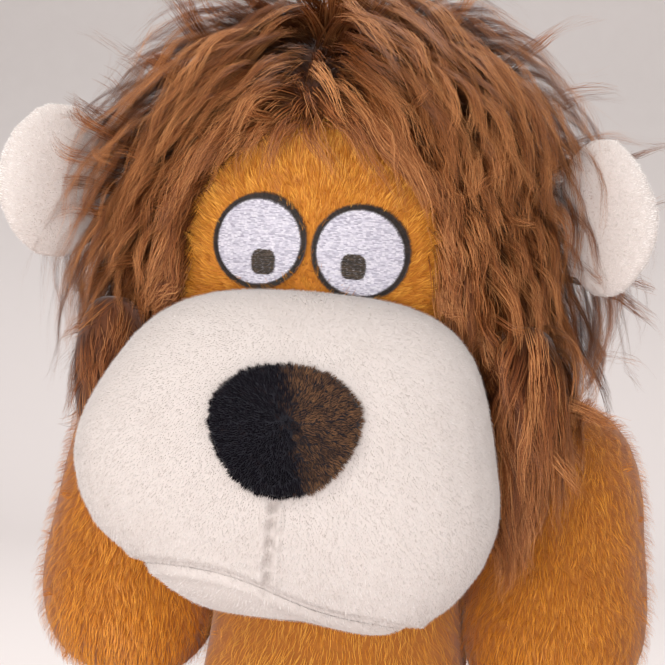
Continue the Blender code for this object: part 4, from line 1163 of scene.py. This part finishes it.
felt = cloth_finish("eye_felt", (0.50, 0.47, 0.54), (0.64, 0.60, 0.68))
for number, side in enumerate(SIDES):
    corners = [np.array(v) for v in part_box(f"eye_rim_{side}")]
    middle, half = sum(corners) / 2 + EYE_ASIDE[side], EYE_FULLNESS * (corners[1] - corners[0]) / 2
    spot = [np.array(v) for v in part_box(f"pupil_{side}")]
    spot_middle, spot_half = sum(spot) / 2 + PUPIL_ASIDE[side], 0.92 * (spot[1] - spot[0]) / 2
    dome = fitted_dome(head_form, middle, half)
    dressed(eye_pad(f"eye_pad_{side}", dome, middle, half - 0.4 * MM), felt, "head")
    white = filled_with_rows(
        middle[0], middle[2], half[0] - RIM, half[2] - RIM, 2.2, STITCH_PITCH, STITCH_LENGTH, number
    )
    pupil = filled_with_rows(
        spot_middle[0], spot_middle[2], spot_half[0], spot_half[2], 3.0, STITCH_PITCH * 0.9,
        2 * STITCH_LENGTH, number + 5,
    )
    turns = np.arange(RIM_COUNT) * math.tau / RIM_COUNT
    heavy = 1.1 + 0.5 * np.exp(-((np.angle(np.exp(1j * (turns - RIM_HEAVY[side]))) / 0.7) ** 2))
    uneven = np.random.default_rng(number + 9).uniform(0.9, 1.25, RIM_COUNT)
    wide, tall = half[0] - RIM / 2, half[2] - RIM / 2
    ring = [(middle[0] + wide * math.cos(t), middle[2] + tall * math.sin(t)) for t in turns]
    ways = [(math.cos(turn), math.sin(turn)) for turn in turns]
    rim = ring, ways, RIM * heavy * uneven
    for part, rows, finish, slot, height in (
        ("eye_white", white, white_thread, "white_thread", 0.2 * MM),
        ("eye_rim", rim, rim_thread, "brown_thread", 0.4 * MM),
        ("pupil", pupil, pupil_thread, "brown_thread", 0.6 * MM),
    ):
        made = stitched(f"{part}_stitches_{side}", *rows, dome, finish, number, height)
        dressed(made, finish, "head", (f"{part}_{side}",))

drop(under_mane, muzzle_form)

# Stage, light and camera

def sweep(name, profile, width):
    """A backdrop: a line in depth and height, drawn out sideways."""
    corners = [(x, y, z) for y, z in profile for x in (-width / 2, width / 2)]
    faces = [(2 * i, 2 * i + 1, 2 * i + 3, 2 * i + 2) for i in range(len(profile) - 1)]
    mesh = bpy.data.meshes.new(name)
    mesh.from_pydata(corners, [], faces)
    mesh.shade_smooth()
    return mesh_object(name, mesh)


BEND = 0.9
WALL = 2.6
turns = [math.radians(a) for a in range(0, 91, 6)]
bend = [(WALL - BEND + BEND * math.sin(t), BEND - BEND * math.cos(t)) for t in turns]
backdrop = sweep("backdrop", [(-3.0, 0.0), *bend, (WALL, 3.0)], 8.0)
paper, w, shader = new_finish("backdrop_paper")
place = w.node("ShaderNodeTexCoord").outputs["Object"]
grain = w.node("ShaderNodeTexNoise", place, named={2: 40.0, 3: 3.0}).outputs[0]
height = w.node("ShaderNodeSeparateXYZ", place).outputs[2]
# Painted light: the paper turns paler from 0.75 m down to the floor, a pool of light low on the backdrop.
low = w.node(
    "ShaderNodeMapRange", height, named={1: 0.75, 2: 0.0, 3: 0.0, 4: 1.0}, interpolation_type="SMOOTHSTEP"
).outputs[0]
paper_colour = blended(w, grain, (0.58, 0.54, 0.525), (0.61, 0.57, 0.555))
w.tree.links.new(blended(w, low, paper_colour, (0.86, 0.80, 0.785)), shader.inputs["Base Color"])
shader.inputs["Roughness"].default_value = 0.9
backdrop.data.materials.append(paper)
backdrop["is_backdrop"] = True


def area_light(name, place, aim, size, watts, colour):
    data = bpy.data.lights.new(name, "AREA")
    data.shape, data.size, data.energy, data.color = "DISK", size, watts, colour
    lamp = bpy.data.objects.new(name, data)
    scene.collection.objects.link(lamp)
    lamp.location = place
    lamp.rotation_euler = (Vector(aim) - Vector(place)).to_track_quat("-Z", "Y").to_euler()


area_light("key", (-0.9, -1.5, 1.3), (0, 0, 0.28), 0.9, 14, (1.0, 0.97, 0.94))
area_light("fill", (1.2, -1.5, 0.3), (0, 0, 0.25), 1.2, 8, (0.96, 0.97, 1.0))
area_light("low_front", (-0.2, -1.7, 0.05), (0, 0, 0.2), 0.8, 23, (0.98, 0.98, 1.0))
area_light("top", (0.1, 0.3, 1.7), (0, 0, 0.3), 1.0, 10, (1.0, 0.98, 0.96))
area_light("backdrop_wash", (0.0, 0.9, 2.2), (0.0, 2.6, 0.4), 1.5, 13, (1.0, 0.98, 0.97))
world = bpy.data.worlds.new("studio")
world.use_nodes = True
world.node_tree.nodes["Background"].inputs[0].default_value = (0.95, 0.93, 0.92, 1.0)
world.node_tree.nodes["Background"].inputs[1].default_value = 0.6
scene.world = world
scene.view_settings.view_transform = "Standard"

az, el, roll = (math.radians(a) for a in (CAMERA_AZIMUTH, CAMERA_ELEVATION, CAMERA_ROLL))
back = Vector((math.sin(az) * math.cos(el), -math.cos(az) * math.cos(el), math.sin(el)))
level = Vector((math.cos(az), math.sin(az), 0.0))
upright = back.cross(level)
across = level * math.cos(roll) - upright * math.sin(roll)
up = level * math.sin(roll) + upright * math.cos(roll)
data = bpy.data.cameras.new("camera")
data.lens, data.sensor_width = CAMERA_LENS, 36.0
camera = bpy.data.objects.new("camera", data)
scene.collection.objects.link(camera)
stand = Vector(CAMERA_AIM) + Vector(ASIDE) + back * CAMERA_DISTANCE
camera.matrix_world = Matrix.Translation(stand) @ Matrix((across, up, back)).transposed().to_4x4()
scene.camera = camera

low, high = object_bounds()
